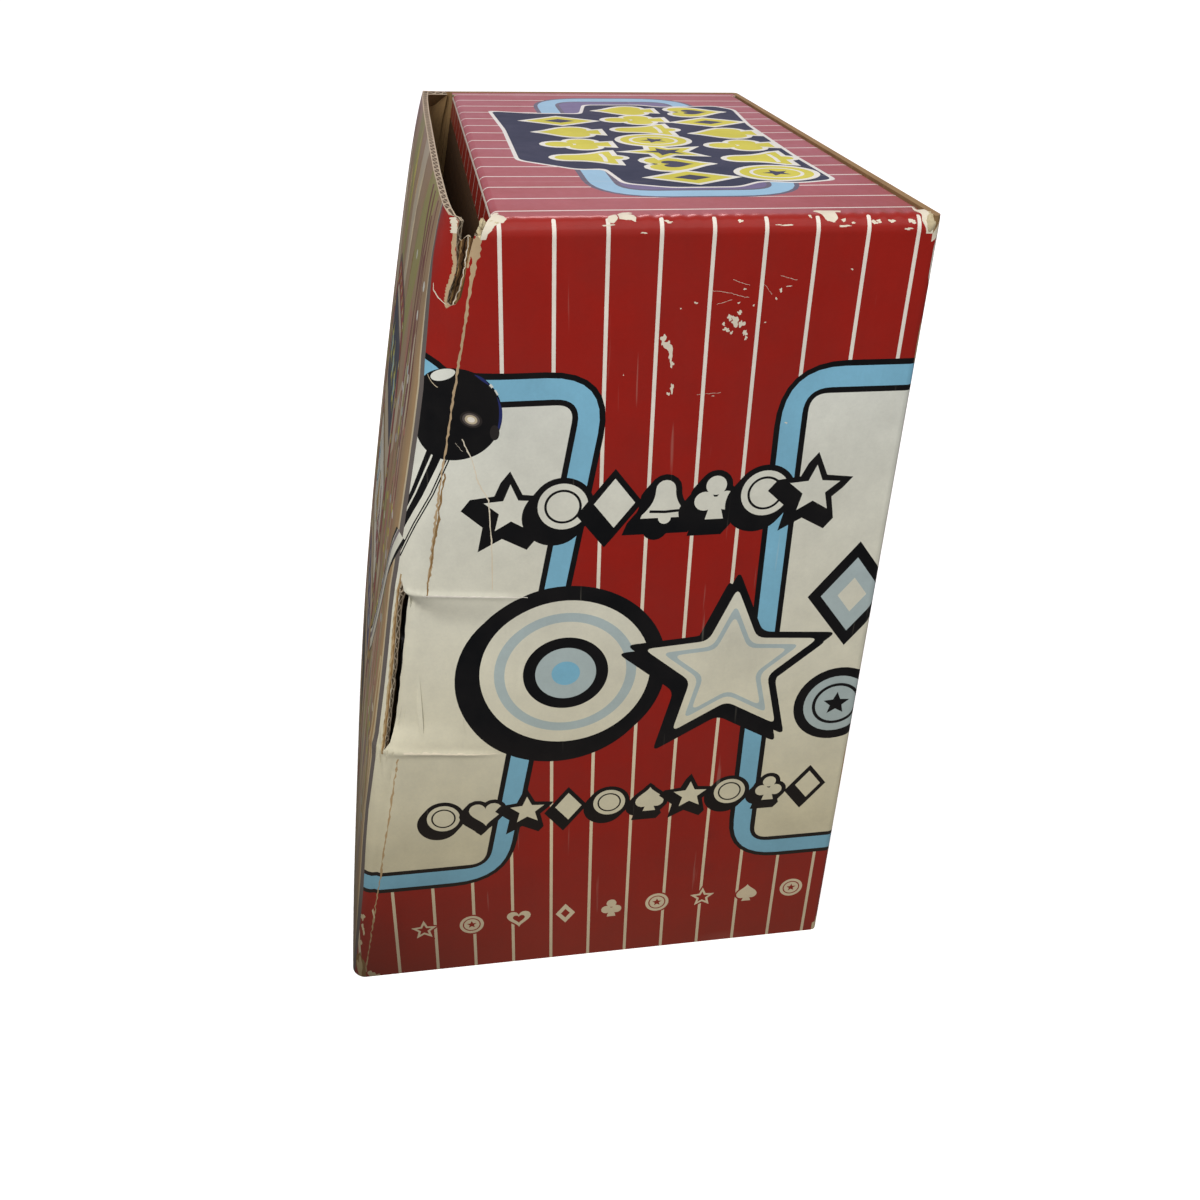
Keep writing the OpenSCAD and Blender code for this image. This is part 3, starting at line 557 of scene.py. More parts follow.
@dataclass
class Sheet:
    """A flat sheet of board or liner, cut into its inked areas and then folded into place.

    The sheet is cut into triangles in its flat state, so that every ink edge is an edge of the mesh, and
    its points are then carried to where the folded sheet lies.
    """

    name: str
    outline: Array
    place: Callable[[Array], Array]
    base: Ink = Ink.RED
    patches: list[Patch] = field(default_factory=list)
    holes: list[Array] = field(default_factory=list)
    guides: list[Array] = field(default_factory=list)
    dense: list[tuple[Array, float]] = field(default_factory=list)
    pitch: float = 6.0
    thickness: float = LINER
    base_gloss: float = 1.0

    def lattice(self, area: Array, pitch: float) -> Array:
        """An even lattice over an area, with every other row shifted by half a step.

        Args:
            area: The outline it fills.
            pitch: The step.

        Returns:
            The points that lie in both the area and the sheet, clear of the sheet's edges.
        """
        low, high = area.min(0), area.max(0)
        u, v = np.meshgrid(np.arange(low[0], high[0], pitch), np.arange(low[1], high[1], pitch))
        v = v + np.where(np.arange(u.shape[1]) % 2, pitch * 0.5, 0.0)[None]
        points = np.stack([u.ravel() + pitch * 0.31, v.ravel() + 0.17 * pitch], 1)
        keep = inside(points, offset(self.outline, -0.35 * pitch)) & inside(points, area)
        for hole in self.holes:
            keep &= ~inside(points, offset(hole, 0.3 * pitch))
        return points[keep]

    def cut(self) -> tuple[Array, Array]:
        """Cuts the flat sheet along every outline, with an even lattice of points between them.

        Returns:
            The flat points, and the triangles that lie in the sheet.
        """
        loops = [self.outline, *self.holes, *(p.loop for p in self.patches)]
        points = [*loops, *self.guides]
        edges: list[tuple[int, int]] = []
        count = 0
        for number, path in enumerate(points):
            index = np.arange(len(path)) + count
            sides = list(zip(index.tolist(), np.roll(index, -1).tolist()))
            edges += sides if number < len(loops) else sides[:-1]
            count += len(path)
        points += [self.lattice(self.outline, self.pitch), *(self.lattice(*area) for area in self.dense)]
        flat = np.vstack(points)
        vectors, _, faces, *_ = delaunay_2d_cdt([Vector(p) for p in flat], edges, [], 0, 1e-4, False)
        flat = np.array([tuple(p) for p in vectors])
        triangles = np.array([f for f in faces if len(f) == 3])
        corner = flat[triangles]
        side_a, side_b = corner[:, 1] - corner[:, 0], corner[:, 2] - corner[:, 0]
        area = side_a[:, 0] * side_b[:, 1] - side_a[:, 1] * side_b[:, 0]
        triangles = np.where(area[:, None] < 0, triangles[:, ::-1], triangles)[np.abs(area) > 1e-7]
        middle = flat[triangles].mean(1)
        keep = inside(middle, self.outline)
        for hole in self.holes:
            keep &= ~inside(middle, hole)
        triangles = triangles[keep]
        used, index = np.unique(triangles, return_inverse=True)
        return flat[used], index.reshape(-1, 3)

    def inks(self, middle: Array) -> Array:
        """The colour of each triangle: that of the uppermost patch over its middle, with gloss as alpha.

        Args:
            middle: The triangles' middles in the flat sheet.

        Returns:
            The red, green, blue and gloss of each.
        """
        colour = np.tile(np.array(self.base.rgba), (len(middle), 1))
        colour[:, 3] = self.base_gloss
        for patch in self.patches:
            hit = inside(middle, patch.loop)
            colour[hit] = (*patch.ink.rgba[:3], patch.gloss)
        return colour

    def build(self) -> Piece:
        """Makes the folded sheet with its thickness.

        The inner face is the outer one moved back along its normals by the thickness, and a wall of quads
        joins the two along every open edge.

        Returns:
            The new object, whose faces take material indices for print, inner face and cut edge, in that
            order.
        """
        flat, triangles = self.cut()
        outer = self.place(flat)
        corner = outer[triangles]
        cross = np.cross(corner[:, 1] - corner[:, 0], corner[:, 2] - corner[:, 0])
        normal = np.zeros_like(outer)
        for k in range(3):
            np.add.at(normal, triangles[:, k], cross)
        normal /= np.maximum(np.linalg.norm(normal, axis=1, keepdims=True), 1e-12)
        inner = outer - normal * self.thickness
        half = np.vstack([triangles[:, [0, 1]], triangles[:, [1, 2]], triangles[:, [2, 0]]])
        key = np.sort(half, 1)
        _, first, times = np.unique(key, axis=0, return_index=True, return_counts=True)
        rim = half[first[times == 1]]
        n = len(outer)
        walls = np.stack([rim[:, 1], rim[:, 0], rim[:, 0] + n, rim[:, 1] + n], 1)
        verts = np.vstack([outer, inner]) * MM
        faces = triangles.tolist() + (triangles[:, ::-1] + n).tolist() + walls.tolist()
        mesh = bpy.data.meshes.new(self.name)
        mesh.from_pydata(verts.tolist(), [], faces)
        count = len(triangles)
        kind = np.repeat([0, 1, 2], [count, count, len(walls)]).astype(np.int32)
        mesh.polygons.foreach_set("material_index", kind)
        ink = self.inks(flat[triangles].mean(1))
        bare = np.tile((*Ink.KRAFT.rgba[:3], 0.0), (3 * count + 4 * len(walls), 1))
        paint = np.vstack([np.repeat(ink, 3, 0), bare])
        layer = mesh.color_attributes.new("ink", "FLOAT_COLOR", "CORNER")
        layer.data.foreach_set("color", paint.astype(np.float32).ravel())
        start, end = flat[rim[:, 0]].sum(1), flat[rim[:, 1]].sum(1)
        through = np.tile([0.0, 0.0, 1.0, 1.0], (len(rim), 1)) * self.thickness
        rim_uv = np.stack([np.stack([end, start, start, end], 1), through], 2)
        parts = (flat[triangles], flat[triangles[:, ::-1]], rim_uv)
        sheet_uv = np.vstack([part.reshape(-1, 2) for part in parts])
        uv = mesh.uv_layers.new(name="sheet")
        uv.data.foreach_set("uv", (sheet_uv * MM).astype(np.float32).ravel())
        mesh.polygons.foreach_set("use_smooth", np.ones(len(faces), bool))
        mesh.set_sharp_from_angle(angle=math.radians(38))
        mesh.validate()
        log.info("%s: %d triangles of print", self.name, count)
        return add_object(self.name, mesh)


class Shader:
    """A small helper that lays nodes into one material or one node group."""

    def __init__(self, tree: bpy.types.NodeTree) -> None:
        """Keeps the node tree that the nodes go into."""
        self.tree = tree

    def add(self, kind: str, label: str = "", **values: object) -> Node:
        """Adds a node.

        Args:
            kind: The node type's name without its ShaderNode start.
            label: What the node is for.
            values: Its settings, and with in_ before a number or a name, its input values.

        Returns:
            The node.
        """
        node = self.tree.nodes.new("ShaderNode" + kind)
        node.label = label
        for name, value in values.items():
            if name.startswith("in_"):
                key = name[3:]
                node.inputs[int(key) if key.isdigit() else key.replace("_", " ")].default_value = value
            else:
                setattr(node, name, value)
        return node

    def noise(self, label: str, place: Socket, scale: float, detail: float, rough: float = 0.5) -> Socket:
        """Adds a noise texture, read at a place, and returns its strength."""
        node = self.add("TexNoise", label, in_Scale=scale, in_Detail=detail, in_Roughness=rough)
        return self.fed(node, {"Vector": place}).outputs[0]

    def join(self, source: Socket, target: Socket) -> None:
        """Links an output to an input."""
        self.tree.links.new(source, target)

    def fed(self, node: Node, values: dict[int | str, object]) -> Node:
        """Gives a node's inputs their values.

        Args:
            node: The node.
            values: For each input's index or name, a socket to link or a value to set.

        Returns:
            The same node.
        """
        for index, value in values.items():
            if isinstance(value, Socket):
                self.join(value, node.inputs[index])
            else:
                node.inputs[index].default_value = value
        return node

    def effect(self, group: Group, place: Socket) -> Node:
        """Adds a shared effect, fed with the place, and returns its node."""
        return self.fed(self.add("Group", group.name, node_tree=group), {0: place})

    def relief(self, height: Socket, surface: Node, strength: float, distance: float) -> None:
        """Raises a surface by a height, through a Bump node.

        Args:
            height: The height.
            surface: The Principled node.
            strength: The Bump node's strength.
            distance: The Bump node's distance, in metres.
        """
        bump = self.add("Bump", "relief", in_Strength=strength, in_Distance=distance)
        self.join(height, bump.inputs["Height"])
        self.join(bump.outputs[0], surface.inputs["Normal"])

    def maths(
        self, operation: str, a: object, b: object = 0.0, c: object = 0.0, clamp: bool = False
    ) -> Socket:
        """Adds a Math node whose inputs are numbers or sockets, and returns its output."""
        return self.fed(self.add("Math", operation=operation, use_clamp=clamp), {0: a, 1: b, 2: c}).outputs[0]

    def mixed(self, factor: object, a: object, b: object, blend: str = "MIX") -> Socket:
        """Adds a colour Mix node whose inputs are colours, numbers or sockets, and returns its output."""
        node = self.add("Mix", data_type="RGBA", blend_type=blend, clamp_result=True)
        return self.fed(node, {0: factor, 6: a, 7: b}).outputs[2]

    def ramped(self, value: Socket, stops: list[Point]) -> Socket:
        """Adds a grey ramp through the given places and brightnesses, in order.

        Args:
            value: The value it reads.
            stops: Each stop's place and brightness.

        Returns:
            The colour output.
        """
        node = self.add("ValToRGB")
        ramp = node.color_ramp
        while len(ramp.elements) < len(stops):
            ramp.elements.new(0.5)
        for element, (place, grey) in zip(ramp.elements, stops):
            element.position = place
            element.color = (grey, grey, grey, 1)
        self.join(value, node.inputs[0])
        return node.outputs[0]


def shared_group(name: str, *outputs: str) -> tuple[Shader, Socket, Node]:
    """Makes a shader node group that reads a place and gives some values.

    Args:
        name: The group's name.
        outputs: The names of its values.

    Returns:
        Its shader helper, the place that it reads and its output node.
    """
    group = bpy.data.node_groups.new(name, "ShaderNodeTree")
    group.interface.new_socket("Place", in_out="INPUT", socket_type="NodeSocketVector")
    for label in outputs:
        group.interface.new_socket(label, in_out="OUTPUT", socket_type="NodeSocketFloat")
    start, end = group.nodes.new("NodeGroupInput"), group.nodes.new("NodeGroupOutput")
    return Shader(group), start.outputs["Place"], end


class Effects:
    """The shader node groups that several finishes share."""

    def __init__(self) -> None:
        """Builds each group once."""
        self.fibre = self._fibre()
        self.handling = self._handling()

    @staticmethod
    def _fibre() -> Group:
        """Paper fibres and clouding: a tone from 0 to 1 and a height, from two sizes of noise.

        Returns:
            The group.
        """
        s, place, end = shared_group("paper_fibre", "Tone", "Height")
        clouded = s.maths("MULTIPLY", s.noise("clouding", place, 90.0, 4.0, 0.6), 0.6)
        fine = s.noise("fibres", place, 1400.0, 3.0, 0.7)
        s.join(s.maths("ADD", clouded, s.maths("MULTIPLY", fine, 0.4)), end.inputs["Tone"])
        s.join(fine, end.inputs["Height"])
        return s.tree

    @staticmethod
    def _handling() -> Group:
        """Marks of handling: a mask of fine scratches and a mask of soft smudges.

        Returns:
            The group.
        """
        s, place, end = shared_group("handling_marks", "Scratches", "Smudges")
        marks = []
        for turn, stretch in ((0.5, (700.0, 9.0, 30.0)), (-0.9, (11.0, 620.0, 24.0))):
            values = {"Vector": place, "Rotation": (turn, 0.3 * turn, turn), "Scale": stretch}
            mapping = s.fed(s.add("Mapping", "scratch direction"), values)
            noise = s.noise("scratch", mapping.outputs[0], 1.0, 2.0)
            marks.append(s.ramped(noise, [(0.0, 0.0), (0.71, 0.0), (0.76, 1.0)]))
        s.join(s.maths("MAXIMUM", *marks), end.inputs["Scratches"])
        smudge = s.noise("smudge", place, 55.0, 5.0, 0.65)
        s.join(s.ramped(smudge, [(0.35, 0.0), (0.7, 1.0)]), end.inputs["Smudges"])
        return s.tree


@dataclass(frozen=True)
class Camera:
    """The photograph's viewpoint, in millimetres and degrees, for a 1200 by 1200 picture."""

    location: Place = (-39.03, -302.85, 257.38)
    azimuth: float = 9.907
    elevation: float = -31.699
    roll: float = -1.743
    focal_pixels: float = 1146.8
    picture: int = 1200
    sensor: float = 36.0

    def place(self) -> None:
        """Adds the camera. It looks along (sin a cos e, cos a cos e, sin e) and is then rolled."""
        data = bpy.data.cameras.new("viewpoint")
        data.sensor_width = self.sensor
        data.lens = self.sensor * self.focal_pixels / self.picture
        data.clip_start, data.clip_end = 0.01, 20.0
        a, e = math.radians(self.azimuth), math.radians(self.elevation)
        look = Vector((math.sin(a) * math.cos(e), math.cos(a) * math.cos(e), math.sin(e)))
        turn = look.to_track_quat("-Z", "Y").to_matrix() @ Matrix.Rotation(math.radians(-self.roll), 3, "Z")
        matrix = Matrix.Translation(Vector(self.location) * MM) @ turn.to_4x4()
        bpy.context.scene.camera = add_object("viewpoint", data, matrix)


def add_object(name: str, data: bpy.types.ID, matrix: Matrix | None = None) -> Piece:
    """Adds an object to the scene.

    Args:
        name: Its name.
        data: Its mesh, light or camera.
        matrix: Where it stands, or None for the origin.

    Returns:
        The object.
    """
    piece = bpy.data.objects.new(name, data)
    if matrix is not None:
        piece.matrix_world = matrix
    bpy.context.scene.collection.objects.link(piece)
    return piece


def new_material(name: str, **values: object) -> tuple[Material, Shader, Node]:
    """Makes an empty node material.

    Args:
        name: The material's name.
        values: Constants for its Principled node, with in_ before each input's name.

    Returns:
        The material, its shader helper and its Principled node.
    """
    material = bpy.data.materials.new(name)
    material.use_nodes = True
    material.node_tree.nodes.clear()
    s = Shader(material.node_tree)
    surface = s.add("BsdfPrincipled", name, **values)
    output = s.add("OutputMaterial")
    s.join(surface.outputs[0], output.inputs[0])
    return material, s, surface


@dataclass(frozen=True)
class PrintedVarnish:
    """Litho print under a thin varnish, on liner that shows the board's flutes as faint ripples."""

    name: str = "printed_varnish"
    ripple: float = 1.0
    flute: float = 3.2
    roughness: float = 0.3
    # The next lines set how much darker and browner the colour turns towards the foot, how strong the painted
    # shade at the low front is, how high the darkening and the yellowing reach, and the tints.
    foot_darkening: float = 0.34
    front_painted_shade: float = 0.62
    foot_height: float = 0.085
    yellow_height: float = 0.17
    yellow_tint: tuple[float, ...] = (0.94, 0.84, 0.63, 1)
    smudge_tint: tuple[float, ...] = (0.05, 0.04, 0.035, 1)
    foot_tint: tuple[float, ...] = (0.1, 0.068, 0.042, 1)
    shade_tint: tuple[float, ...] = (0.02, 0.012, 0.008, 1)

    def make(self, effects: Effects) -> Material:
        """Builds the material from the sheet's ink attribute, fibres, flute ripples and handling marks, with
        the colour yellower, darker and browner towards the foot and painted shade at the low front.

        Args:
            effects: The shared node groups.

        Returns:
            The material.
        """
        material, s, surface = new_material(self.name, in_Specular_IOR_Level=0.14, in_Coat_Roughness=0.2)
        ink = s.add("VertexColor", "ink", layer_name="ink")
        place = s.add("TexCoord").outputs["Object"]
        fibre, marks = s.effect(effects.fibre, place), s.effect(effects.handling, place)
        tone = s.maths("MULTIPLY_ADD", fibre.outputs["Tone"], 0.36, 0.83)
        toned = s.mixed(1.0, ink.outputs["Color"], tone, "MULTIPLY")
        split = s.add("SeparateXYZ")
        s.join(place, split.inputs[0])
        # Inks with much red in them turn yellower and darker towards the foot.
        height = s.maths("MULTIPLY", split.outputs[2], 1 / self.yellow_height)
        yellowing = s.ramped(height, [(0.25, 1.0), (1.0, 0.0)])
        paleness = s.add("SeparateColor")
        s.join(toned, paleness.inputs[0])
        yellowing = s.maths("MULTIPLY", yellowing, s.maths("MULTIPLY", paleness.outputs[0], 1.25), clamp=True)
        yellowed = s.mixed(yellowing, toned, s.mixed(1.0, toned, self.yellow_tint, "MULTIPLY"))
        dulled = s.mixed(s.maths("MULTIPLY", marks.outputs["Smudges"], 0.14), yellowed, self.smudge_tint)
        scratched = s.mixed(s.maths("MULTIPLY", marks.outputs["Scratches"], 0.1), dulled, Ink.PAPER.rgba)
        # The colour turns darker and browner towards the foot.
        rise = s.maths("MULTIPLY", split.outputs[2], 1 / self.foot_height)
        low = s.ramped(rise, [(0.0, 1.0), (0.45, 0.42), (1.0, 0.0)])
        # Painted shade: low down and towards the front, the colour is pulled towards near black.
        forward = s.maths("MULTIPLY_ADD", split.outputs[0], -1 / 0.055, -0.2)
        front = s.ramped(forward, [(0.0, 0.0), (1.0, 1.0)])
        low_darkened = s.mixed(s.maths("MULTIPLY", low, self.foot_darkening), scratched, self.foot_tint)
        shade = s.maths("MULTIPLY", s.maths("MULTIPLY", low, front), self.front_painted_shade)
        s.join(s.mixed(shade, low_darkened, self.shade_tint), surface.inputs["Base Color"])
        gloss = ink.outputs["Alpha"]
        rough = s.maths("MULTIPLY_ADD", gloss, self.roughness - 0.85, 0.85)
        worn = s.maths("ADD", rough, s.maths("MULTIPLY", marks.outputs["Smudges"], 0.16))
        s.join(worn, surface.inputs["Roughness"])
        period = 2 * math.pi / (20 * self.flute * MM)
        flutes = s.add("TexWave", "flutes", wave_type="BANDS", bands_direction="X", in_Scale=period)
        flutes.inputs["Distortion"].default_value = 0.6
        flutes.inputs["Detail Scale"].default_value = 0.6
        sheet = s.add("UVMap", "sheet", uv_map="sheet")
        s.join(sheet.outputs[0], flutes.inputs["Vector"])
        fluted = s.maths("MULTIPLY", flutes.outputs["Fac"], 0.5)
        height = s.maths("ADD", fluted, s.maths("MULTIPLY", fibre.outputs["Height"], 0.3))
        s.relief(height, surface, 0.3 * self.ripple, 0.00012)
        s.join(s.maths("MULTIPLY", gloss, 0.26), surface.inputs["Coat Weight"])
        return material


@dataclass(frozen=True)
class BareBoard:
    """Unprinted board: liner with raised fibres and a clouded tone."""

    name: str = "bare_kraft"
    colour: Ink = Ink.KRAFT

    def make(self, effects: Effects) -> Material:
        """Builds the material on Object coordinates.

        Args:
            effects: The shared node groups.

        Returns:
            The material.
        """
        material, s, surface = new_material(self.name, in_Roughness=0.88)
        fibre = s.effect(effects.fibre, s.add("TexCoord").outputs["Object"])
        tone = s.maths("MULTIPLY_ADD", fibre.outputs["Tone"], 0.8, 0.6)
        s.join(s.mixed(1.0, self.colour.rgba, tone, "MULTIPLY"), surface.inputs["Base Color"])
        s.relief(fibre.outputs["Height"], surface, 0.35, 0.0003)
        return material


@dataclass(frozen=True)
class CutEdge:
    """The cut edge of corrugated board: two liners and a waved sheet between them, with the hollows between
    them painted near black as painted shade.
    """

    name: str = "cut_flutes"
    flute: float = 3.2
    board: float = 1.6

    def make(self, effects: Effects) -> Material:
        """Builds the material. Along the edge is u, through the board is v, and the waved sheet is the
        line where v = middle + reach sin(2 pi u / flute).

        Args:
            effects: The shared node groups.

        Returns:
            The material.
        """
        material, s, surface = new_material(self.name, in_Roughness=0.9)
        sheet = s.add("UVMap", "sheet", uv_map="sheet")
        split = s.add("SeparateXYZ")
        s.join(sheet.outputs[0], split.inputs[0])
        u = s.maths("MULTIPLY", split.outputs[0], 1 / MM)
        v = s.maths("MULTIPLY", split.outputs[1], 1 / MM)
        wave = s.maths("SINE", s.maths("MULTIPLY", u, 2 * math.pi / self.flute))
        line = s.maths("MULTIPLY_ADD", wave, self.board * 0.3, self.board * 0.5)
        gap = s.maths("ABSOLUTE", s.maths("SUBTRACT", v, line))
        sheet_mask = s.maths("LESS_THAN", gap, 0.24)
        middle = s.maths("ABSOLUTE", s.maths("SUBTRACT", v, self.board * 0.5))
        liner_mask = s.maths("GREATER_THAN", middle, self.board * 0.5 - 0.28)
        solid = s.maths("MAXIMUM", sheet_mask, liner_mask)
        fibre = s.effect(effects.fibre, s.add("TexCoord").outputs["Object"])
        tone = s.maths("MULTIPLY_ADD", fibre.outputs["Tone"], 0.9, 0.55)
        board = s.mixed(1.0, s.mixed(0.45, Ink.KRAFT.rgba, Ink.PAPER.rgba), tone, "MULTIPLY")
        # Painted shade: the hollows between the liners and the waved sheet are near black.
        s.join(s.mixed(solid, (0.1, 0.066, 0.036, 1), board), surface.inputs["Base Color"])
        s.relief(s.maths("ADD", solid, fibre.outputs["Height"]), surface, 0.6, 0.0004)
        return material


@dataclass(frozen=True)
class Moulding:
    """A moulded plastic, lacquer or plated finish with grain and handling marks."""

    name: str
    colour: Place
    roughness: float = 0.35
    metallic: float = 0.0
    grain: float = 0.1
    coat: float = 0.0
    wear: Place = (0.6, 0.6, 0.6)

    def make(self, effects: Effects) -> Material:
        """Builds the material on Object coordinates.

        Args:
            effects: The shared node groups.

        Returns:
            The material.
        """
        material, s, surface = new_material(self.name, in_Metallic=self.metallic, in_Coat_Weight=self.coat)
        place = s.add("TexCoord").outputs["Object"]
        fibre, marks = s.effect(effects.fibre, place), s.effect(effects.handling, place)
        tone = s.maths("MULTIPLY_ADD", fibre.outputs["Tone"], 0.24, 0.88)
        toned = s.mixed(1.0, (*self.colour, 1), tone, "MULTIPLY")
        worn = s.mixed(s.maths("MULTIPLY", marks.outputs["Scratches"], 0.25), toned, (*self.wear, 1))
        s.join(worn, surface.inputs["Base Color"])
        rough = s.maths("MULTIPLY_ADD", marks.outputs["Smudges"], 0.2, self.roughness)
        s.join(rough, surface.inputs["Roughness"])
        s.relief(fibre.outputs["Height"], surface, self.grain, 0.0002)
        return material


@dataclass(frozen=True)
class ClearPane:
    """Clear moulded window plastic."""

    name: str = "clear_window"

    def make(self, effects: Effects) -> Material:
        """Builds the material, with smudges in its roughness.

        Args:
            effects: The shared node groups.

        Returns:
            The material.
        """
        material, s, surface = new_material(self.name, in_Transmission_Weight=1.0, in_IOR=1.2)
        surface.inputs["Base Color"].default_value = (0.93, 0.96, 0.96, 1)
        marks = s.effect(effects.handling, s.add("TexCoord").outputs["Object"])
        s.join(s.maths("MULTIPLY_ADD", marks.outputs["Smudges"], 0.08, 0.03), surface.inputs["Roughness"])
        return material


@dataclass
class WrapBoard:
    """The near side and the picture panel, one board folded at the rolled front corner.

    The flat sheet is laid out in the near side's own x and z. Left of the front fold, a point's distance
    from the fold is its way round the corner and across the picture panel.
    """

    sizes: CartonSizes
    foot_bow: float = 4.0
    belly: float = 5.4
    top_ease: float = 0.31
    corner_share: float = 0.83
    tear_foot: float = 187.0
    slit_foot: float = 78.0
    slit_head: float = 124.5
    slit_wide: float = 1.15
    dent: float = 2.3
    dent_ease: float = 9.0
    creases: tuple[tuple[float, ...], ...] = ((-62, -25, 79.5, 75.0), (-52, -17, 123.5, 120.0))

    @property
    def near_top(self) -> float:
        """The height where the near side ends and the roll over to the lid starts."""
        return self.sizes.height - self.sizes.roll - 0.4

    def bow(self, z: Array) -> Array:
        """The panel's greatest stand-out at a height, with h the height as a share of the whole.

        It is foot_bow + belly (1 - (1 - h)^3 - top_ease h^20): it grows from the foot and eases at the top.
        """
        h = np.clip(z / self.sizes.height, 0, 1)
        return self.foot_bow + self.belly * (1 - (1 - h) ** 3 - self.top_ease * h**20)

    def reach(self, z: Array) -> Array:
        """The sheet's whole way from the near fold to the far one: two quarter circles and the flat."""
        radius = self.corner_share * self.bow(z)
        return self.sizes.width - 2 * radius + math.pi * radius

    def flat_point(self, across: Array, z: Array) -> Array:
        """The flat sheet's point at a distance across the panel from the fold, at a height on the fold.

        The point is the fold's point at that height, moved along the outward normal of the fold line,
        which is (-cos lean, sin lean).
        """
        lean = self.sizes.lean
        return np.stack([self.sizes.front_x(z) - across * math.cos(lean), z + across * math.sin(lean)], -1)

    def across(self, flat: Array) -> Array:
        """How far across the panel from the front fold flat points lie, negative on the near side."""
        cos, sin = math.cos(self.sizes.lean), math.sin(self.sizes.lean)
        return -((flat[:, 0] - self.sizes.foot_x) * cos - flat[:, 1] * sin)

    def split_way(self, z: Array) -> Array:
        """How far round the corner from the fold the split's outer edge runs, by height."""
        return np.interp(z, (77, 82, 92, 104, 116, 125), (3.9, 4.0, 4.25, 4.75, 5.6, 5.8))

    def laid(self, rows: list[Point]) -> Array:
        """The flat points for a list of (across, height) pairs."""
        pairs = np.array(rows, float)
        return self.flat_point(pairs[:, 0], pairs[:, 1])

    def sunk(self, x: Array, across: Array, z: Array) -> Array:
        """How far the board is pushed in, or raised where negative.

        Beside the slit the near side is pushed in by the dent times how near the point is to the slit,
        counted from the scuffed line, and eased to nothing at the two creases. A crease is a raised
        ridge, -height exp(-(gap / width)^2), which fades towards its right end, and the lower one is
        broad at its left. Round the corner below the split the board is hollowed beside the fold. A slow
        wave of a few tenths of a millimetre runs over the whole side.

        Args:
            x: The place along the near side.
            across: The distance round from the front fold, negative on the near side.
            z: The height in the flat sheet.

        Returns:
            The way inwards.
        """
        scuffed = np.interp(z, (74.3, 119.5), (-25.0, -17.2))
        way = self.split_way(z)
        slit_x = self.sizes.front_x(z) - way + self.slit_wide
        near = np.clip((scuffed - x) / (scuffed - slit_x), 0, 1)
        low, high = (np.interp(x, line[:2], line[2:]) for line in self.creases)
        head_ease = np.interp(x - slit_x, (0, 9), (2.2, self.dent_ease))
        ease = np.clip((z - low) / self.dent_ease, 0, 1) * np.clip((high - z) / head_ease, 0, 1)
        push = self.dent * near * ease * ease * (3 - 2 * ease) * (across < way - 0.2)
        ridge = np.zeros_like(x)
        broad = 0.7 + 0.9 * np.clip((-41 - x) / 18, 0, 1)
        for height, end, tall, width in ((low, -23.5, 0.5, broad), (high, -15.0, 0.3, 0.6)):
            fade = np.clip((end - x) / 8, 0, 1)
            ridge = ridge + tall * np.exp(-(((z - height) / width) ** 2)) * fade
        hollow = 0.5 * np.exp(-(((across - 1.3) / 0.8) ** 2)) * np.clip((z - 2) / 20, 0, 1)
        hollow = hollow * np.clip((77 - z) / 6, 0, 1)
        wave = 0.16 * np.sin(x / 17 + z / 41) + 0.1 * np.sin(z / 13 - x / 29)
        calm = np.clip((self.sizes.back_x - 4 - x) / 25, 0, 1) * np.clip((self.near_top - 3 - z) / 25, 0, 1)
        return push - ridge + hollow + (wave + 0.16) * calm * np.clip(z / 20, 0, 1)

    def place(self, flat: Array, depth: float = 0.0) -> Array:
        """Folds the flat sheet.

        Args:
            flat: Points in the near side's x and z.
            depth: How far under the board's printed face the points lie.

        Returns:
            The folded points. Right of the fold they lie on the near side. Left of it they turn through a
            quarter circle, cross the panel with a shallow crown, and turn through a second one.
        """
        cos, sin = math.cos(self.sizes.lean), math.sin(self.sizes.lean)
        u, v = flat[:, 0] - self.sizes.foot_x, flat[:, 1]
        across = self.across(flat)
        along = u * sin + v * cos
        z = along * cos
        bow = self.bow(z)
        radius = self.corner_share * bow
        total = self.reach(z)
        s = np.clip(across, 0, total)
        quarter = radius * math.pi / 2
        near_turn = np.clip(s / radius, 0, math.pi / 2)
        far_turn = np.clip((total - s) / radius, 0, math.pi / 2)
        y = np.where(s < quarter, radius * (1 - np.cos(near_turn)), radius + np.clip(s - quarter, 0, None))
        y = np.where(s > total - quarter, self.sizes.width - radius * (1 - np.cos(far_turn)), y)
        out = radius * np.minimum(np.sin(near_turn), np.sin(far_turn))
        middle = 2 * y / self.sizes.width - 1
        out = out + (bow - radius) * (1 - middle**4)
        sunk = self.sunk(flat[:, 0], across, v) * np.clip(1 - (across - 9) / 6, 0, 1) + depth - LINER
        face = np.where(across <= 0, 0.0, np.where(s < total / 2, near_turn, math.pi - far_turn))
        fold = np.stack([self.sizes.foot_x + along * sin, np.full_like(s, self.sizes.near_y), along * cos], 1)
        normal = np.array([-cos, 0.0, sin])
        inward = np.stack([np.zeros_like(s), np.cos(face), np.zeros_like(s)], 1)
        inward = inward - np.sin(face)[:, None] * normal
        panel = fold + out[:, None] * normal + np.stack([0 * y, y, 0 * y], 1)
        side = np.stack([flat[:, 0], np.full_like(s, self.sizes.near_y), flat[:, 1]], 1)
        return np.where((across <= 0)[:, None], side, panel) + sunk[:, None] * inward

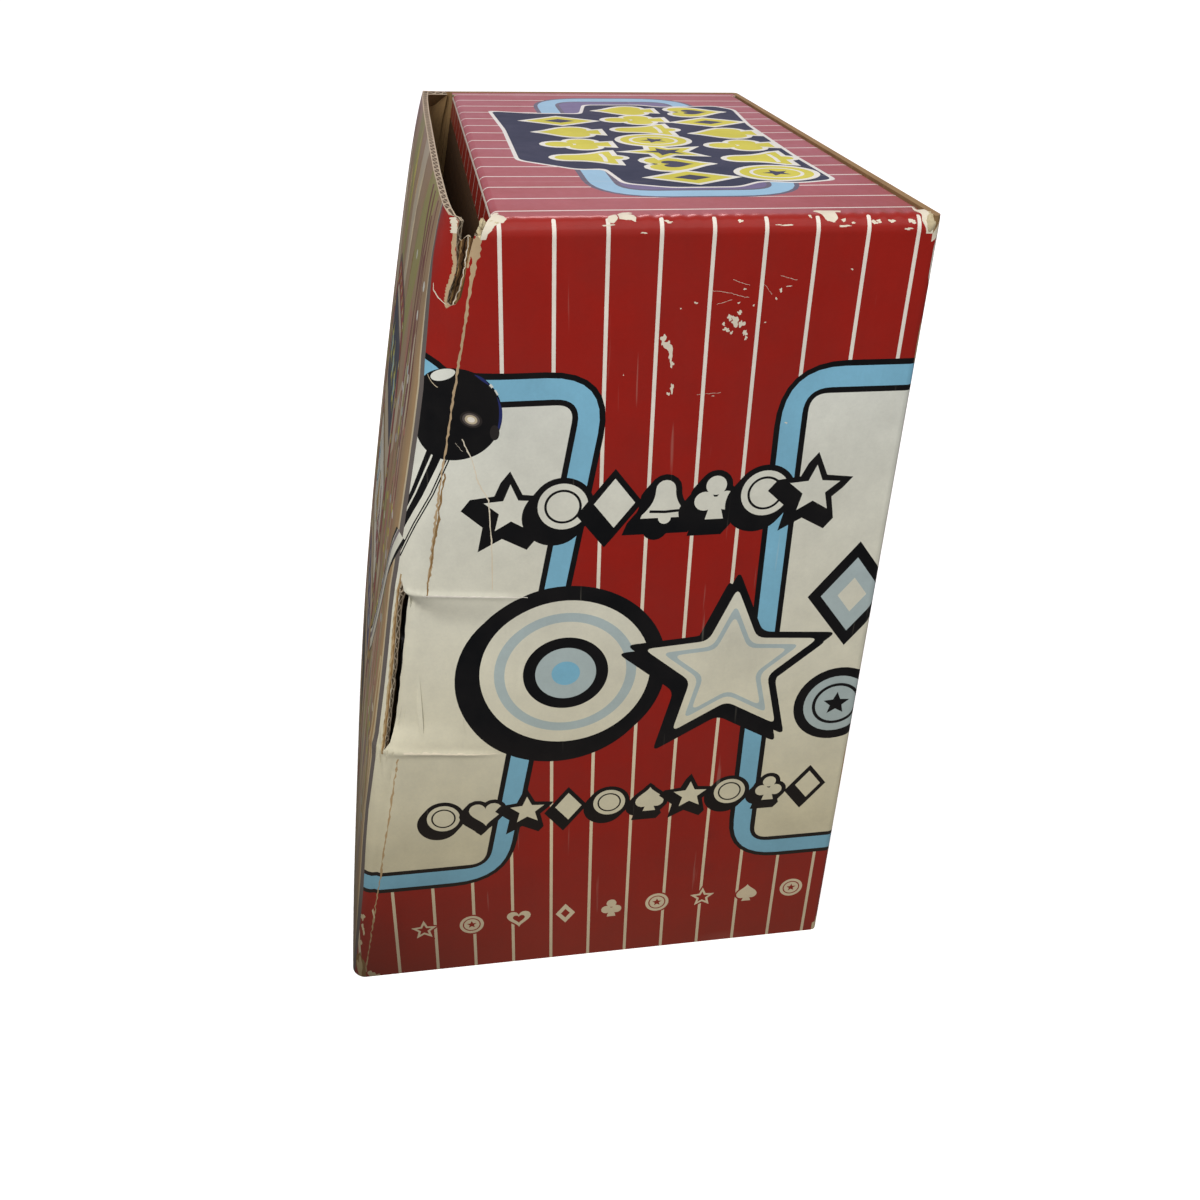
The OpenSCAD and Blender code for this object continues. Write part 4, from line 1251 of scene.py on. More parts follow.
    def outline(self) -> Array:
        """The flat sheet's outline: the near side, the tear at the front corner, and the picture panel.

        The tear runs down from the cut top between two ragged edges, given as (across, height) pairs.

        Returns:
            The outline.
        """
        s = self.sizes
        z = np.linspace(s.height, 0, 25)
        far = self.flat_point(self.reach(z), z)
        tear = [(0.9, 201.2), (1.3, 197.4), (1.45, 194.8), (1.4, 192.4), (1.65, 189.2), (2.5, 187.6)]
        tear += [(3.6, self.tear_foot), (4.35, 187.4), (4.15, 189.8), (3.7, 191.6), (3.35, 193.8)]
        tear += [(3.4, 195.4), (3.9, 197.6), (4.3, 200.8), (4.2, 203.0)]
        top = [(5.2, 203.5), (6.9, 203.4), (8.4, 203.9), (10.5, s.height), (14.0, s.height)]
        return np.vstack(
            [
                [(s.back_x - s.board, 0.0), (s.back_x - s.board, self.near_top)],
                [(self.sizes.front_x(self.near_top) + 0.6, self.near_top)],
                self.laid(tear),
                self.laid(top),
                far,
                [self.flat_point(np.array(0.0), np.array(0.0))],
            ]
        )

    def slit(self) -> Array:
        """The split beside the front corner: a long thin opening, ragged on its outer edge.

        Returns:
            The opening's outline.
        """
        z = np.linspace(self.slit_head, self.slit_foot, 22)
        rng = np.random.default_rng(SEED + 1)
        outer = self.split_way(z) + rng.normal(0, 0.09, 22)
        inner = outer - self.slit_wide
        inner[[0, -1]] = outer[[0, -1]] = self.split_way(z[[0, -1]]) - 0.2
        return np.vstack([self.flat_point(outer, z), self.flat_point(inner, z)[-2:0:-1]])

    def corner_guides(self) -> list[Array]:
        """Lines up the panel that stay edges: the fold, and even steps round each rolled corner.

        Returns:
            The paths.
        """
        z = np.linspace(0.0, self.near_top - 1.0, 34)
        reach = self.reach(z)
        radius = self.corner_share * self.bow(z)
        steps = np.linspace(0, math.pi / 2, 8)
        near = [self.flat_point(radius * a, z) for a in steps]
        far = [self.flat_point(reach - radius * a, z) for a in steps[1:]]
        return near + far

    def crease_guides(self) -> list[Array]:
        """Lines along the two creases, so that the mesh can follow their ridges.

        Returns:
            The paths.
        """
        x = np.linspace(-61, -13, 49)
        lines = []
        for start, end, low, high in self.creases:
            for gap in (-5.0, -3.4, -2.2, -1.4, -0.7, 0.0, 0.7, 1.4, 2.2, 3.4, 5.0):
                height = np.interp(x, (start, end), (low, high)) + gap
                keep = x > self.sizes.front_x(height) - self.split_way(height) + 1.6
                lines.append(np.stack([x, height], 1)[keep])
        return lines


def strip_width(z: Array) -> Array:
    """How far the near side's print runs round the front corner, by height, before the picture starts.

    Args:
        z: The height.

    Returns:
        The way round from the fold.
    """
    heights = (0, 9, 31, 38, 46, 57, 77, 95, 103, 116, 158, 169, 175, 181, 189, 194, 199, 204)
    widths = (3.4, 3.6, 4.2, 4.7, 5.4, 6.1, 6.1, 6.3, 6.5, 7.1, 7.0, 7.2, 7.9, 8.2, 9.0, 9.9, 11.0, 12.0)
    return np.interp(z, heights, widths)


@dataclass
class SidePrint:
    """The striped print of the carton's sides, laid out in the near side's x and z."""

    sizes: CartonSizes
    stripe_pitch: float = 10.54
    stripe: float = 0.82
    stripe_phase: float = 9.432
    band: float = 4.7
    line: float = 1.3
    corner: float = 10.0
    frame_foot: float = 31.5
    frame_head: float = 174.4
    fall: Point = (-2.0, -2.2)

    def stripes(self, low: int, high: int, top: float) -> list[Patch]:
        """Upright cream lines at even steps from the back fold. Those left of the front fold stay low.

        Args:
            low: The first line's number.
            high: The number after the last line's.
            top: How high the lines right of the front fold reach.

        Returns:
            The patches.
        """
        patches = []
        for k in range(low, high):
            x = self.sizes.back_x + (k - self.stripe_phase) * self.stripe_pitch
            half = self.stripe / 2
            patches.append(Patch(box_loop(x - half, -2, x + half, top if k > 0 else 100.0), Ink.STRIPE))
        return patches

    def framed(self, corners: Array) -> list[Patch]:
        """A rounded frame: a black line, a blue band, a black line, and the cream field inside."""
        lines = ((0.0, Ink.BLACK), (self.line, Ink.SKY), (self.line + self.band, Ink.BLACK))
        return banded(corners, (*lines, (2 * self.line + self.band, Ink.CREAM)), self.corner, 2.5)

    def frames(self) -> list[Patch]:
        """The two frames, one round each upright fold, and their fields.

        Returns:
            The patches.
        """
        foot = self.frame_foot
        left = [(1.95, 173.9), (-31.6, 173.5), (-36.0, 178.0), (-90, 184.0), (-118, foot), (-22.8, foot)]
        return self.framed(np.array(left)) + self.framed(box_loop(36.8, foot, 130, self.frame_head))

    def knob(self) -> list[Patch]:
        """The printed lever: a black ball over the front fold, its lights, and its rod down the corner.

        Returns:
            The patches.
        """
        rod = np.array([(-34.2, 160.0), (-36.9, 154.0), (-40.2, 147.0), (-44.5, 139.5), (-49.0, 131.0)])
        bright = rod + (1.9, 0.2)
        ball, glint, shine = (-32.0, 165.0), (-34.0, 173.6), (-28.4, 163.9)
        swell = np.sin(np.linspace(0.1, math.pi - 0.1, 24))
        drawn = [
            (strand(bright, np.array([2.2, 2.8, 3.4, 4.0, 4.6])), Ink.CREAM),
            *((strand(bright + (shift, 0), 0.3), Ink.BLACK) for shift in (0.7, 1.3)),
            (strand(rod + (-0.7, 0), np.array([3.6, 3.3, 2.9, 2.5, 2.2])), Ink.BLACK),
            (strand(rod + (-1.0, 0), np.array([0.3, 0.45, 0.4, 0.4, 0.3])), Ink.CREAM),
            (disc(ball, 10.1, 72), Ink.BLACK),
            (strand(arc(ball, 9.75, -28, 22), 0.7 * swell), Ink.ULTRAMARINE),
            (strand(arc(ball, 9.75, 40, 62), 0.6 * swell), Ink.ULTRAMARINE),
            (strand(arc(ball, 10.1, 24, 31, 8), 0.35), Ink.CREAM),
            (strand(arc(ball, 10.0, 35, 40, 8), 0.5), Ink.CREAM),
            (turned(disc(glint, 2.85, 36, 0.4), 17, glint), Ink.CREAM),
            (strand(arc((-33.0, 175.4), 5.0, 205, 245, 10), 0.16), Ink.STONE),
        ]
        for share, ink in ((1.0, Ink.SOOT), (0.78, Ink.ASH), (0.56, Ink.STONE), (0.34, Ink.STRIPE)):
            drawn.append((turned(disc(shine, 2.4 * share, 28, 0.72), -24, shine), ink))
        drawn.append((disc((-23.6, 160.8), 1.0, 20, 1.7), Ink.SOOT))
        return [Patch(loop, ink) for loop, ink in drawn]

    def rows(self) -> list[Patch]:
        """The rows of figures that cross the frames.

        Returns:
            The patches.
        """
        cream = Ink.CREAM
        first = "star coin diamond bell clover coin star"
        patches = row(first, (-20.5, 142.6), (11.4, 0.25), 5.6, edge=1.4, shadow=2.6, detail=cream)
        patches += self.big_coin((-8.0, 98.0), 24.5) + self.big_star((32.5, 96.5), 27.5) + self.fold_figures()
        third = "coin heart star diamond coin spade star coin clover diamond"
        patches += row(third, (-39.0, 55.6), (10.7, 0.12), 4.2, edge=1.2, shadow=1.7, detail=cream)
        fourth = "star coin heart diamond clover coin star spade coin"
        looks = {"body": Ink.STRIPE, "line": Ink.RED, "detail": Ink.RED, "edge": 0.5}
        return patches + row(fourth, (-46.0, 16.0), (12.9, 0.3), 3.3, **looks)

    def fold_figures(self) -> list[Patch]:
        """The two figures that cross the back fold."""
        upper = stamped(Motif.DIAMOND, (61.0, 115.5), 9.5, body=Ink.PALE_BLUE, detail=Ink.CREAM, edge=2.6)
        return upper + stamped(Motif.COIN, (61.5, 83.0), 8.6, body=Ink.PALE_BLUE, detail=Ink.BLACK, edge=2.6)

    def big_coin(self, centre: Point, radius: float) -> list[Patch]:
        """The large coin and its shadow: rings of black, cream and blue, one inside the other.

        Args:
            centre: The middle.
            radius: The radius.

        Returns:
            The patches.
        """
        inks = (Ink.BLACK, Ink.CREAM, Ink.PALE_BLUE, Ink.CREAM, Ink.BLACK, Ink.PALE_BLUE, Ink.SKY)
        shares = (1.0, 0.84, 0.70, 0.60, 0.42, 0.3, 0.14)
        shadow = [Patch(disc(tuple(np.array(centre) + self.fall), radius, 72), Ink.BLACK)]
        return shadow + rings(centre, tuple((radius * share, ink) for share, ink in zip(shares, inks)), 72)

    def big_star(self, centre: Point, radius: float) -> list[Patch]:
        """The large star: a black outline and shadow, a cream edge, a pale blue line and a cream heart.

        Args:
            centre: The middle.
            radius: The full radius.

        Returns:
            The patches.
        """
        loops = [(star(tuple(np.array(centre) + self.fall), radius), Ink.BLACK)]
        for share, ink in ((1.0, Ink.BLACK), (0.83, Ink.CREAM), (0.66, Ink.PALE_BLUE), (0.55, Ink.CREAM)):
            loops.append((star(centre, radius * share), ink))
        return [Patch(rounded(loop, 2.2, 4), ink) for loop, ink in loops]

    def field(self, lever: bool = True) -> list[Patch]:
        """Everything on a side, from the stripes up to the figures. The far side has no printed lever."""
        return self.stripes(-4, 12, 203.2) + self.frames() + (self.knob() if lever else []) + self.rows()


@dataclass
class PicturePrint:
    """The picture on the front panel: a plain drawing of a toy slot machine on a mottled ground.

    It is drawn in millimetres across the panel from the near fold and up it, and then laid on the sheet.
    """

    board: WrapBoard
    middle: float = 82.0
    inner: float = 16.0
    rays: int = 16

    def ground(self) -> list[Patch]:
        """The dark edge line, the brown ground, and pale rays from the machine's middle to the inner frame.

        Returns:
            The patches.
        """
        z = np.linspace(-1, 206, 40)
        start, end = strip_width(z), self.board.reach(z) - strip_width(z)
        patches = []
        for inset, ink in ((0.0, Ink.EDGE), (1.5, Ink.STONE), (2.1, Ink.BROWN)):
            loop = np.vstack([np.stack([start + inset, z], 1), np.stack([end - inset, z], 1)[::-1]])
            patches.append(Patch(loop, ink))
        centre = np.array([self.middle, 112.0])
        angle = np.linspace(0, 2 * math.pi, 2 * self.rays + 1)
        way = np.stack([np.cos(angle), np.sin(angle)], 1)
        room = np.array([self.middle - self.inner, 92.0])
        rim = centre + way * (room / np.maximum(np.abs(way), 1e-6)).min(1)[:, None]
        for i in range(self.rays):
            patches.append(Patch(np.vstack([centre, rim[2 * i : 2 * i + 2]]), (Ink.STONE, Ink.OLIVE)[i % 2]))
        return patches

    def streamers(self) -> list[Patch]:
        """Paper streamers and confetti that fall down both sides of the machine.

        A streamer is a strand whose way across is its middle plus sway times the sine of its height, and
        its width swells and shrinks as a twisted ribbon's does, by 0.35 + 0.65 |cos|.

        Returns:
            The patches.
        """
        rng = np.random.default_rng(SEED + 2)
        inks = (Ink.KRAFT, Ink.OLIVE, Ink.STONE, Ink.ROSE, Ink.SLATE, Ink.PULP, Ink.ROSE, Ink.OLIVE)
        total = float(self.board.reach(np.array(100.0)))
        patches = []
        for i in range(58):
            way = 3.4 + 25 * (i % 29) / 29 + rng.uniform(-0.4, 0.4)
            low, long = rng.uniform(1, 150), rng.uniform(35, 80)
            z = np.linspace(low, min(low + long, 203.0), 30)
            sway, turn = 0.35 + 0.05 * way, rng.uniform(0, 6)
            x = np.maximum(strip_width(z), strip_width(z.mean())) + way + sway * np.sin(z / 7 + turn)
            width = (0.8 + 0.09 * way) * (0.35 + 0.65 * np.abs(np.cos(z / 11 + turn)))
            ink = inks[i % 8] if low + long < 188 else (Ink.BROWN, Ink.RUSSET)[i % 2]
            x = np.maximum(x, strip_width(z) + 2.3 + width / 2)
            for across in (x, total - x):
                patches.append(Patch(strand(np.stack([across, z], 1), width), ink))
        for i in range(46):
            z = rng.uniform(4, 196)
            x = float(strip_width(np.array(z))) + 4 + 28 * rng.random()
            spot = disc((x, z), 1.3, 12, 0.8)
            ink = (Ink.YELLOW, Ink.ROSE, Ink.PALE_BLUE, Ink.CREAM)[i % 4]
            patches += [Patch(spot, ink), Patch(np.stack([total - spot[:, 0], spot[:, 1]], 1), ink)]
        return patches

    @staticmethod
    def pane(box: tuple[float, ...], *inks: Ink) -> list[Patch]:
        """Nested rounded panes, each 1.1 mm inside the last, from a box of least and greatest corners."""
        return nested(box_loop(*box), tuple((1.1 * i, ink) for i, ink in enumerate(inks)), 3.0)

    def machine(self) -> list[Patch]:
        """The drawn slot machine, with three reels, a lever, bulbs and a payout cup.

        Returns:
            The patches.
        """
        body = np.array([(46, 28), (118, 28), (118, 150), (108, 168), (56, 168), (46, 150)], float)
        patches = nested(body, ((-2.0, Ink.FLUTE), (0.0, Ink.RED), (4.6, Ink.FLUTE), (5.4, Ink.STONE)), 6, 6)
        for x, z in self.bulbs(offset(body, -2.3)):
            patches += rings((x, z), ((1.7, Ink.FLUTE), (1.3, Ink.YELLOW), (0.5, Ink.CHALK)), 12)
        patches += self.pane((54, 134, 110, 160), Ink.FLUTE, Ink.NAVY)
        patches += self.pane((52, 90, 112, 126), Ink.FLUTE, Ink.GOLD, Ink.FLUTE, Ink.CREAM)
        patches += self.pane((54, 70, 110, 84), Ink.FLUTE, Ink.PURPLE)
        patches += [Patch(box_loop(x - 0.4, 93.4, x + 0.4, 122.6), Ink.FLUTE) for x in (72.5, 91.5)]
        patches.append(Patch(box_loop(55.4, 107.6, 108.6, 108.4), Ink.ROSE))
        for i, (kind, ink) in enumerate(zip(motifs("cherry bell star"), (Ink.RED, Ink.GOLD, Ink.SKY))):
            patches += stamped(kind, (63.5 + 18.7 * i, 108), 7.6, body=ink, detail=Ink.CREAM, edge=0.6)
        patches += row("star star star", (65, 146.5), (17, 0), 6.5, body=Ink.YELLOW, edge=0.8)
        patches += row("heart clover diamond spade", (63.5, 77), (12.4, 0), 4.0, body=Ink.STONE, edge=0.5)
        cup = np.array([(56, 40), (108, 40), (104, 63), (60, 63)], float)
        patches += nested(cup, ((0.0, Ink.FLUTE), (1.2, Ink.GOLD), (3.0, Ink.BLACK)), 4)
        hub = (43.5, 84.0)
        patches += rings(hub, ((6.6, Ink.FLUTE), (5.6, Ink.GOLD)), 20)
        lever = np.array([hub, (36.0, 90.0), (27.0, 101.0), (19.0, 113.0), (12.6, 125.5), (8.0, 135.0)])
        for extra, ink in ((1.4, Ink.BLACK), (0.0, Ink.CREAM)):
            patches.append(Patch(strand(lever, np.linspace(5.4, 2.6, 6) + extra), ink))
        patches.append(Patch(strand(lever + (0.6, 0.6), np.linspace(1.6, 0.7, 6)), Ink.SLATE))
        return patches + rings(hub, ((2.4, Ink.FLUTE),), 16)

    @staticmethod
    def bulbs(loop: Array, pitch: float = 9.0) -> Array:
        """Even points along a closed loop, by its running length.

        Args:
            loop: The loop.
            pitch: The step between points, nearly.

        Returns:
            The points.
        """
        ring = np.vstack([loop, loop[:1]])
        run = np.concatenate([[0], np.cumsum(np.linalg.norm(np.diff(ring, axis=0), axis=1))])
        at = np.linspace(0, run[-1], int(run[-1] / pitch), endpoint=False)
        return np.stack([np.interp(at, run, ring[:, k]) for k in (0, 1)], 1)

    def heap(self) -> list[Patch]:
        """The heap of coins at the machine's foot, each a dark rim, a gilt face and a pale ring.

        Returns:
            The patches.
        """
        rng = np.random.default_rng(SEED)
        patches = []
        for i in range(40):
            x = self.middle + rng.normal(0, 26)
            swell = math.exp(-(((x - self.middle) / 34) ** 2))
            z = 27 - 20 * (i / 40) + 16 * rng.random() * swell * (1 - i / 40)
            x = float(np.clip(x, 22, 142))
            patches.append(Patch(disc((x, z), 5.2, 20, 0.6), Ink.FLUTE))
            for radius, ink in ((4.8, Ink.GOLD), (3.4, Ink.YELLOW), (2.8, Ink.GOLD)):
                patches.append(Patch(disc((x, z + 0.7), radius, 20, 0.6), ink))
        return patches

    def field(self) -> list[Patch]:
        """The whole picture, carried from across and up the panel to the flat sheet."""
        drawn = self.ground() + self.streamers() + self.machine() + self.heap()
        return [Patch(self.board.flat_point(p.loop[:, 0], p.loop[:, 1]), p.ink) for p in drawn]


@dataclass(frozen=True)
class Flap:
    """A board that starts level, turns down round a hinge, and goes on straight.

    A flat point's way is counted from the place right over the hinge. Its section is
    out = radius sin(angle) + beyond cos(turn) and up = radius cos(angle) - beyond sin(turn).
    """

    radius: float
    turn: float

    @property
    def arc(self) -> float:
        """The length of the turn."""
        return self.radius * self.turn

    def section(self, way: Array) -> tuple[Array, Array]:
        """Gives how far out from the hinge and how far above it each way along the flap lies.

        Args:
            way: The ways along the flap.

        Returns:
            The ways out and up.
        """
        angle = np.clip(way / self.radius, 0, self.turn)
        beyond = np.clip(way - self.arc, 0, None)
        out = self.radius * np.sin(angle) + beyond * math.cos(self.turn)
        return out, self.radius * np.cos(angle) - beyond * math.sin(self.turn)


@dataclass
class Wear:
    """The worn, chipped and torn places of the near side, its folds and the lid's near fold."""

    wrap: WrapBoard

    def scuffs(self) -> list[Patch]:
        """Rubbed and bared spots on the near side, as ragged spots of bare paper.

        Each row gives the middle, the half width and the half height.

        Returns:
            The patches.
        """
        rows = (
            (11.2, 180.0, 0.5, 1.1), (12.2, 178.6, 0.7, 1.2), (12.9, 176.9, 0.5, 1.5),
            (13.3, 174.6, 0.35, 0.6), (13.6, 169.4, 0.4, 0.9), (12.9, 168.2, 0.3, 0.4),
            (24.8, 184.2, 0.5, 0.6), (26.0, 183.4, 0.9, 0.9), (27.4, 182.8, 0.6, 0.7),
            (24.3, 181.7, 0.7, 0.4), (28.3, 180.9, 0.4, 0.7), (26.8, 185.2, 0.5, 0.4),
            (28.6, 179.8, 0.3, 0.4), (23.6, 182.9, 0.35, 0.3), (17.5, 187.4, 0.35, 0.2),
            (27.4, 190.0, 0.25, 0.2), (35.0, 189.6, 0.3, 0.4), (34.2, 187.9, 0.25, 0.2),
            (49.5, 193.6, 0.2, 0.2), (25.4, 181.0, 0.3, 0.3), (32.4, 183.0, 0.15, 0.15),
            (14.4, 186.3, 0.15, 0.15), (3.2, 172.6, 0.12, 0.12), (39.4, 160.6, 0.25, 0.2),
            (22.6, 167.4, 0.25, 0.1), (29.6, 186.6, 0.12, 0.3), (26.4, 187.2, 0.3, 0.15),
            (36.6, 190.4, 0.5, 0.12),
        )
        rng = np.random.default_rng(SEED + 4)
        return [Patch(ragged((x, z), (a, b), rng, 0.4), Ink.PAPER, 0.1) for x, z, a, b in rows]

    def scratches(self) -> list[Patch]:
        """Thin scratches through the print, as strands along short paths on the near side.

        Returns:
            The patches.
        """
        rng = np.random.default_rng(SEED + 5)
        paths = [
            [(-30.4, 159.6), (-28.6, 155.0), (-28.0, 152.6), (-27.6, 150.0)]
            + [(-25.3, 145.2), (-25.1, 141.7), (-24.9, 134.0), (-24.9, 122.7)],
            [(-31.9, 158.9), (-31.0, 157.6), (-30.4, 156.8)],
            [(20.6, 189.9), (24.6, 189.2), (28.4, 188.2)],
            [(24.8, 192.0), (28.4, 190.7)],
            [(31.4, 190.9), (33.2, 188.8)],
            [(34.6, 192.6), (38.2, 191.6)],
            [(21.8, 186.9), (24.9, 187.9)],
            [(19.0, 167.8), (24.2, 168.1)],
        ]
        patches = []
        for i, path in enumerate(paths):
            line = resampled(np.array(path, float), 6)
            line = line + rng.normal(0, 0.05, line.shape)
            width = (0.3 if i == 0 else 0.07) * rng.uniform(0.5, 1.2, len(line))
            patches.append(Patch(strand(line, width), Ink.PAPER, 0.15))
        return patches

    def front_fold(self) -> list[Patch]:
        """The line rubbed bare down the front fold, broad at its head, and the torn rims beside the tear.

        Returns:
            The patches.
        """
        rng = np.random.default_rng(SEED + 6)
        z = np.linspace(201.0, 124.0, 110)
        heights = (124, 128, 150, 175, 188, 192.5, 194.5, 197, 201)
        width = np.interp(z, heights, (0.2, 0.7, 0.4, 0.48, 0.46, 0.6, 1.1, 1.6, 1.4))
        width = width * (1 + 0.26 * rng.normal(0, 1, len(z)))
        middle = 0.15 + 0.09 * rng.normal(0, 1, len(z)) - np.interp(z, (124, 132, 145), (0.7, 0.6, 0.0))
        worn = strand(self.wrap.flat_point(middle, z), np.clip(width, 0.16, 2.0))
        low = np.linspace(76.0, 2.0, 70)
        middle = self.wrap.flat_point(0.2 + 0.1 * rng.normal(0, 1, 70), low)
        lower = strand(middle, np.clip(0.34 + 0.16 * rng.normal(0, 1, 70), 0.1, 1))
        patches = [Patch(worn, Ink.TORN, 0.0), Patch(lower, Ink.TORN, 0.2)]
        z = np.linspace(152.0, 121.8, 32)
        middle = self.wrap.flat_point(-0.5 + 0.1 * rng.normal(0, 1, 32), z)
        hollow = strand(middle, np.clip(0.34 + 0.14 * rng.normal(0, 1, 32), 0.1, 0.8))
        patches.append(Patch(hollow, Ink.KRAFT, 0.0))
        torn = [(4.7, 202.9), (4.5, 197.6), (3.75, 195.4), (3.75, 193.8), (4.1, 191.6), (4.5, 189.6)]
        rims = (
            (torn + [(4.4, 187.2), (3.9, 186.6)], 0.95, Ink.TORN),
            ([(5.6, 203.3), (5.1, 202.0), (4.8, 200.6)], 1.7, Ink.PAPER),
            ([(1.0, 200.6), (1.15, 198.0), (1.25, 195.0)], 0.4, Ink.TORN),
        )
        for rows, wide, ink in rims:
            line = resampled(self.wrap.laid(rows), 8)
            patches.append(Patch(strand(line, wide * rng.uniform(0.6, 1.3, len(line))), ink, 0.0))
        scratch = self.wrap.laid([(8.3, 190.0), (8.0, 188.8), (6.4, 187.8), (4.3, 187.0)])
        patches.append(Patch(strand(scratch, np.array([0.15, 0.32, 0.26, 0.1])), Ink.PAPER, 0.2))
        return patches

    def creases(self) -> list[Patch]:
        """The two crease lines over the dent, cracked and painted pure white, partly as a painted highlight
        where each ridge catches the light, and the cracked rim round the split.

        Returns:
            The patches.
        """
        rng = np.random.default_rng(SEED + 7)
        patches = []
        # Each crease line is pure white: cracked varnish, and a painted highlight where the ridge catches the
        # light.
        for x0, z0, x1, z1, wide in ((-40.6, 122.2, -17.0, 120.1, 0.5), (-47.6, 77.9, -24.0, 75.1, 0.62)):
            t = np.linspace(0, 1, 40)
            line = np.stack([x0 + (x1 - x0) * t, z0 + (z1 - z0) * t + 0.06 * rng.normal(0, 1, 40)], 1)
            width = wide * np.clip(1.3 - t, 0.25, 1) * rng.uniform(0.6, 1.2, 40)
            patches.append(Patch(strand(line, width), Ink.CHALK, 0.4))
        z = np.linspace(self.wrap.slit_head + 1.4, self.wrap.slit_foot - 1.6, 48)
        rims = ((0.5, 1.0, 0.13, Ink.PULP), (0.42, 0.82, 0.1, Ink.KRAFT), (0.62, 0.26, 0.12, Ink.TORN))
        for beside, wide, rough, ink in rims:
            taper = np.interp(z, (76.4, 79, 88, 112, 121, 125.9), (0.4, 0.8, 1.0, 1.0, 0.8, 0.3))
            way = self.wrap.split_way(z) + beside * taper + 0.07 * rng.normal(0, 1, 48)
            width = np.clip(wide * taper + rough * rng.normal(0, 1, 48), 0.1, 1.5)
            patches.append(Patch(strand(self.wrap.flat_point(way, z), width), ink, 0.0))
        return patches

    def feet(self) -> list[Patch]:
        """The rubbed lower ends of the two upright folds.

        Returns:
            The patches.
        """
        rng = np.random.default_rng(SEED + 8)
        patches = []
        spots = (
            (1.7, 3.6, 1.2, 5.4, Ink.KRAFT), (2.0, 3.0, 0.7, 4.4, Ink.PULP),
            (2.7, 17.5, 0.45, 1.6, Ink.PAPER), (3.3, 21.6, 0.6, 1.2, Ink.PAPER),
            (2.9, 12.2, 0.4, 1.3, Ink.PAPER), (0.5, 24.0, 0.3, 1.5, Ink.PAPER),
            (-1.5, 1.2, 1.0, 1.3, Ink.PAPER), (-3.4, 0.8, 0.7, 0.6, Ink.PAPER),
            (-7.5, 1.0, 0.5, 0.4, Ink.PULP),
        )
        for s, z, a, b, ink in spots:
            middle = self.wrap.laid([(s, z)])[0]
            patches.append(Patch(ragged(tuple(middle), (a, b), rng, 0.35), ink, 0.1))
        return patches

    def near_side(self) -> list[Patch]:
        """All the worn places of the near side's own board, with the white crease lines that are partly a
        painted highlight.
        """
        return self.scuffs() + self.scratches() + self.front_fold() + self.creases() + self.feet()

    def lid_fold(self) -> list[Patch]:
        """The chips on the roll over to the lid, in x and the way up from the side's head.

        Returns:
            The patches.
        """
        chips = (
            [(-0.9, 3.1), (-0.5, 5.0), (1.0, 5.4), (1.2, 3.6), (0.3, 2.7)],
            [(1.5, 3.9), (1.3, 5.6), (2.4, 7.3), (4.2, 7.3), (4.6, 6.4)]
            + [(3.4, 5.9), (4.9, 4.6), (4.7, 2.9), (3.5, 3.5)],
            [(41.2, 6.8), (42.0, 7.3), (47.3, 7.1), (46.7, 5.6), (45.4, 5.4)]
            + [(45.6, 3.4), (44.6, 2.4), (43.2, 2.7), (42.4, 4.4)],
            [(46.0, 3.0), (47.2, 3.4), (46.8, 2.3)],
        )
        spots = (
            (11.1, 3.0, 0.7, 0.3), (25.5, 3.0, 0.45, 0.35), (53.0, 2.4, 0.6, 0.4), (54.0, 2.6, 0.5, 0.35),
            (56.7, 2.6, 0.6, 0.4), (60.9, 2.5, 0.7, 0.5), (60.2, 1.0, 0.8, 0.22), (35.0, 2.0, 1.3, 0.14),
            (46.8, 1.7, 1.5, 0.16), (6.2, 0.9, 0.6, 0.15), (-0.8, 2.4, 1.0, 0.2), (33.2, 2.1, 0.5, 0.12),
            (39.9, 4.0, 0.35, 0.4), (48.6, 2.3, 0.5, 0.15),
        )
        rng = np.random.default_rng(SEED + 9)
        patches = []
        for chip in chips:
            loop = rounded(np.array(chip, float), 0.35, 3)
            patches.append(Patch(loop + rng.normal(0, 0.07, loop.shape), Ink.PAPER, 0.1))
        patches += [Patch(ragged((x, v), (a, b), rng, 0.35), Ink.PAPER, 0.1) for x, v, a, b in spots]
        corner = [(-27, -1), (-27, 14), (-24.6, 12.4), (-23.6, 9.0), (-22.4, 8.6), (-21.4, 6.2)]
        corner += [(-20.2, 4.6), (-20.8, 3.2), (-23.0, 2.2), (-24.2, 0.6), (-24.6, -1)]
        loop = rounded(np.array(corner, float), 0.5, 3)
        patches.append(Patch(loop + rng.normal(0, 0.1, loop.shape), Ink.PAPER, 0.0))
        far = [(63.2, 9.5), (62.6, 6.6), (63.4, 4.4), (63.0, 2.6), (63.9, 1.0), (64.2, -1)]
        far += [(69, -1), (69, 9.5)]
        patches.append(Patch(rounded(np.array(far, float), 0.6, 3), Ink.PAPER, 0.0))
        return patches


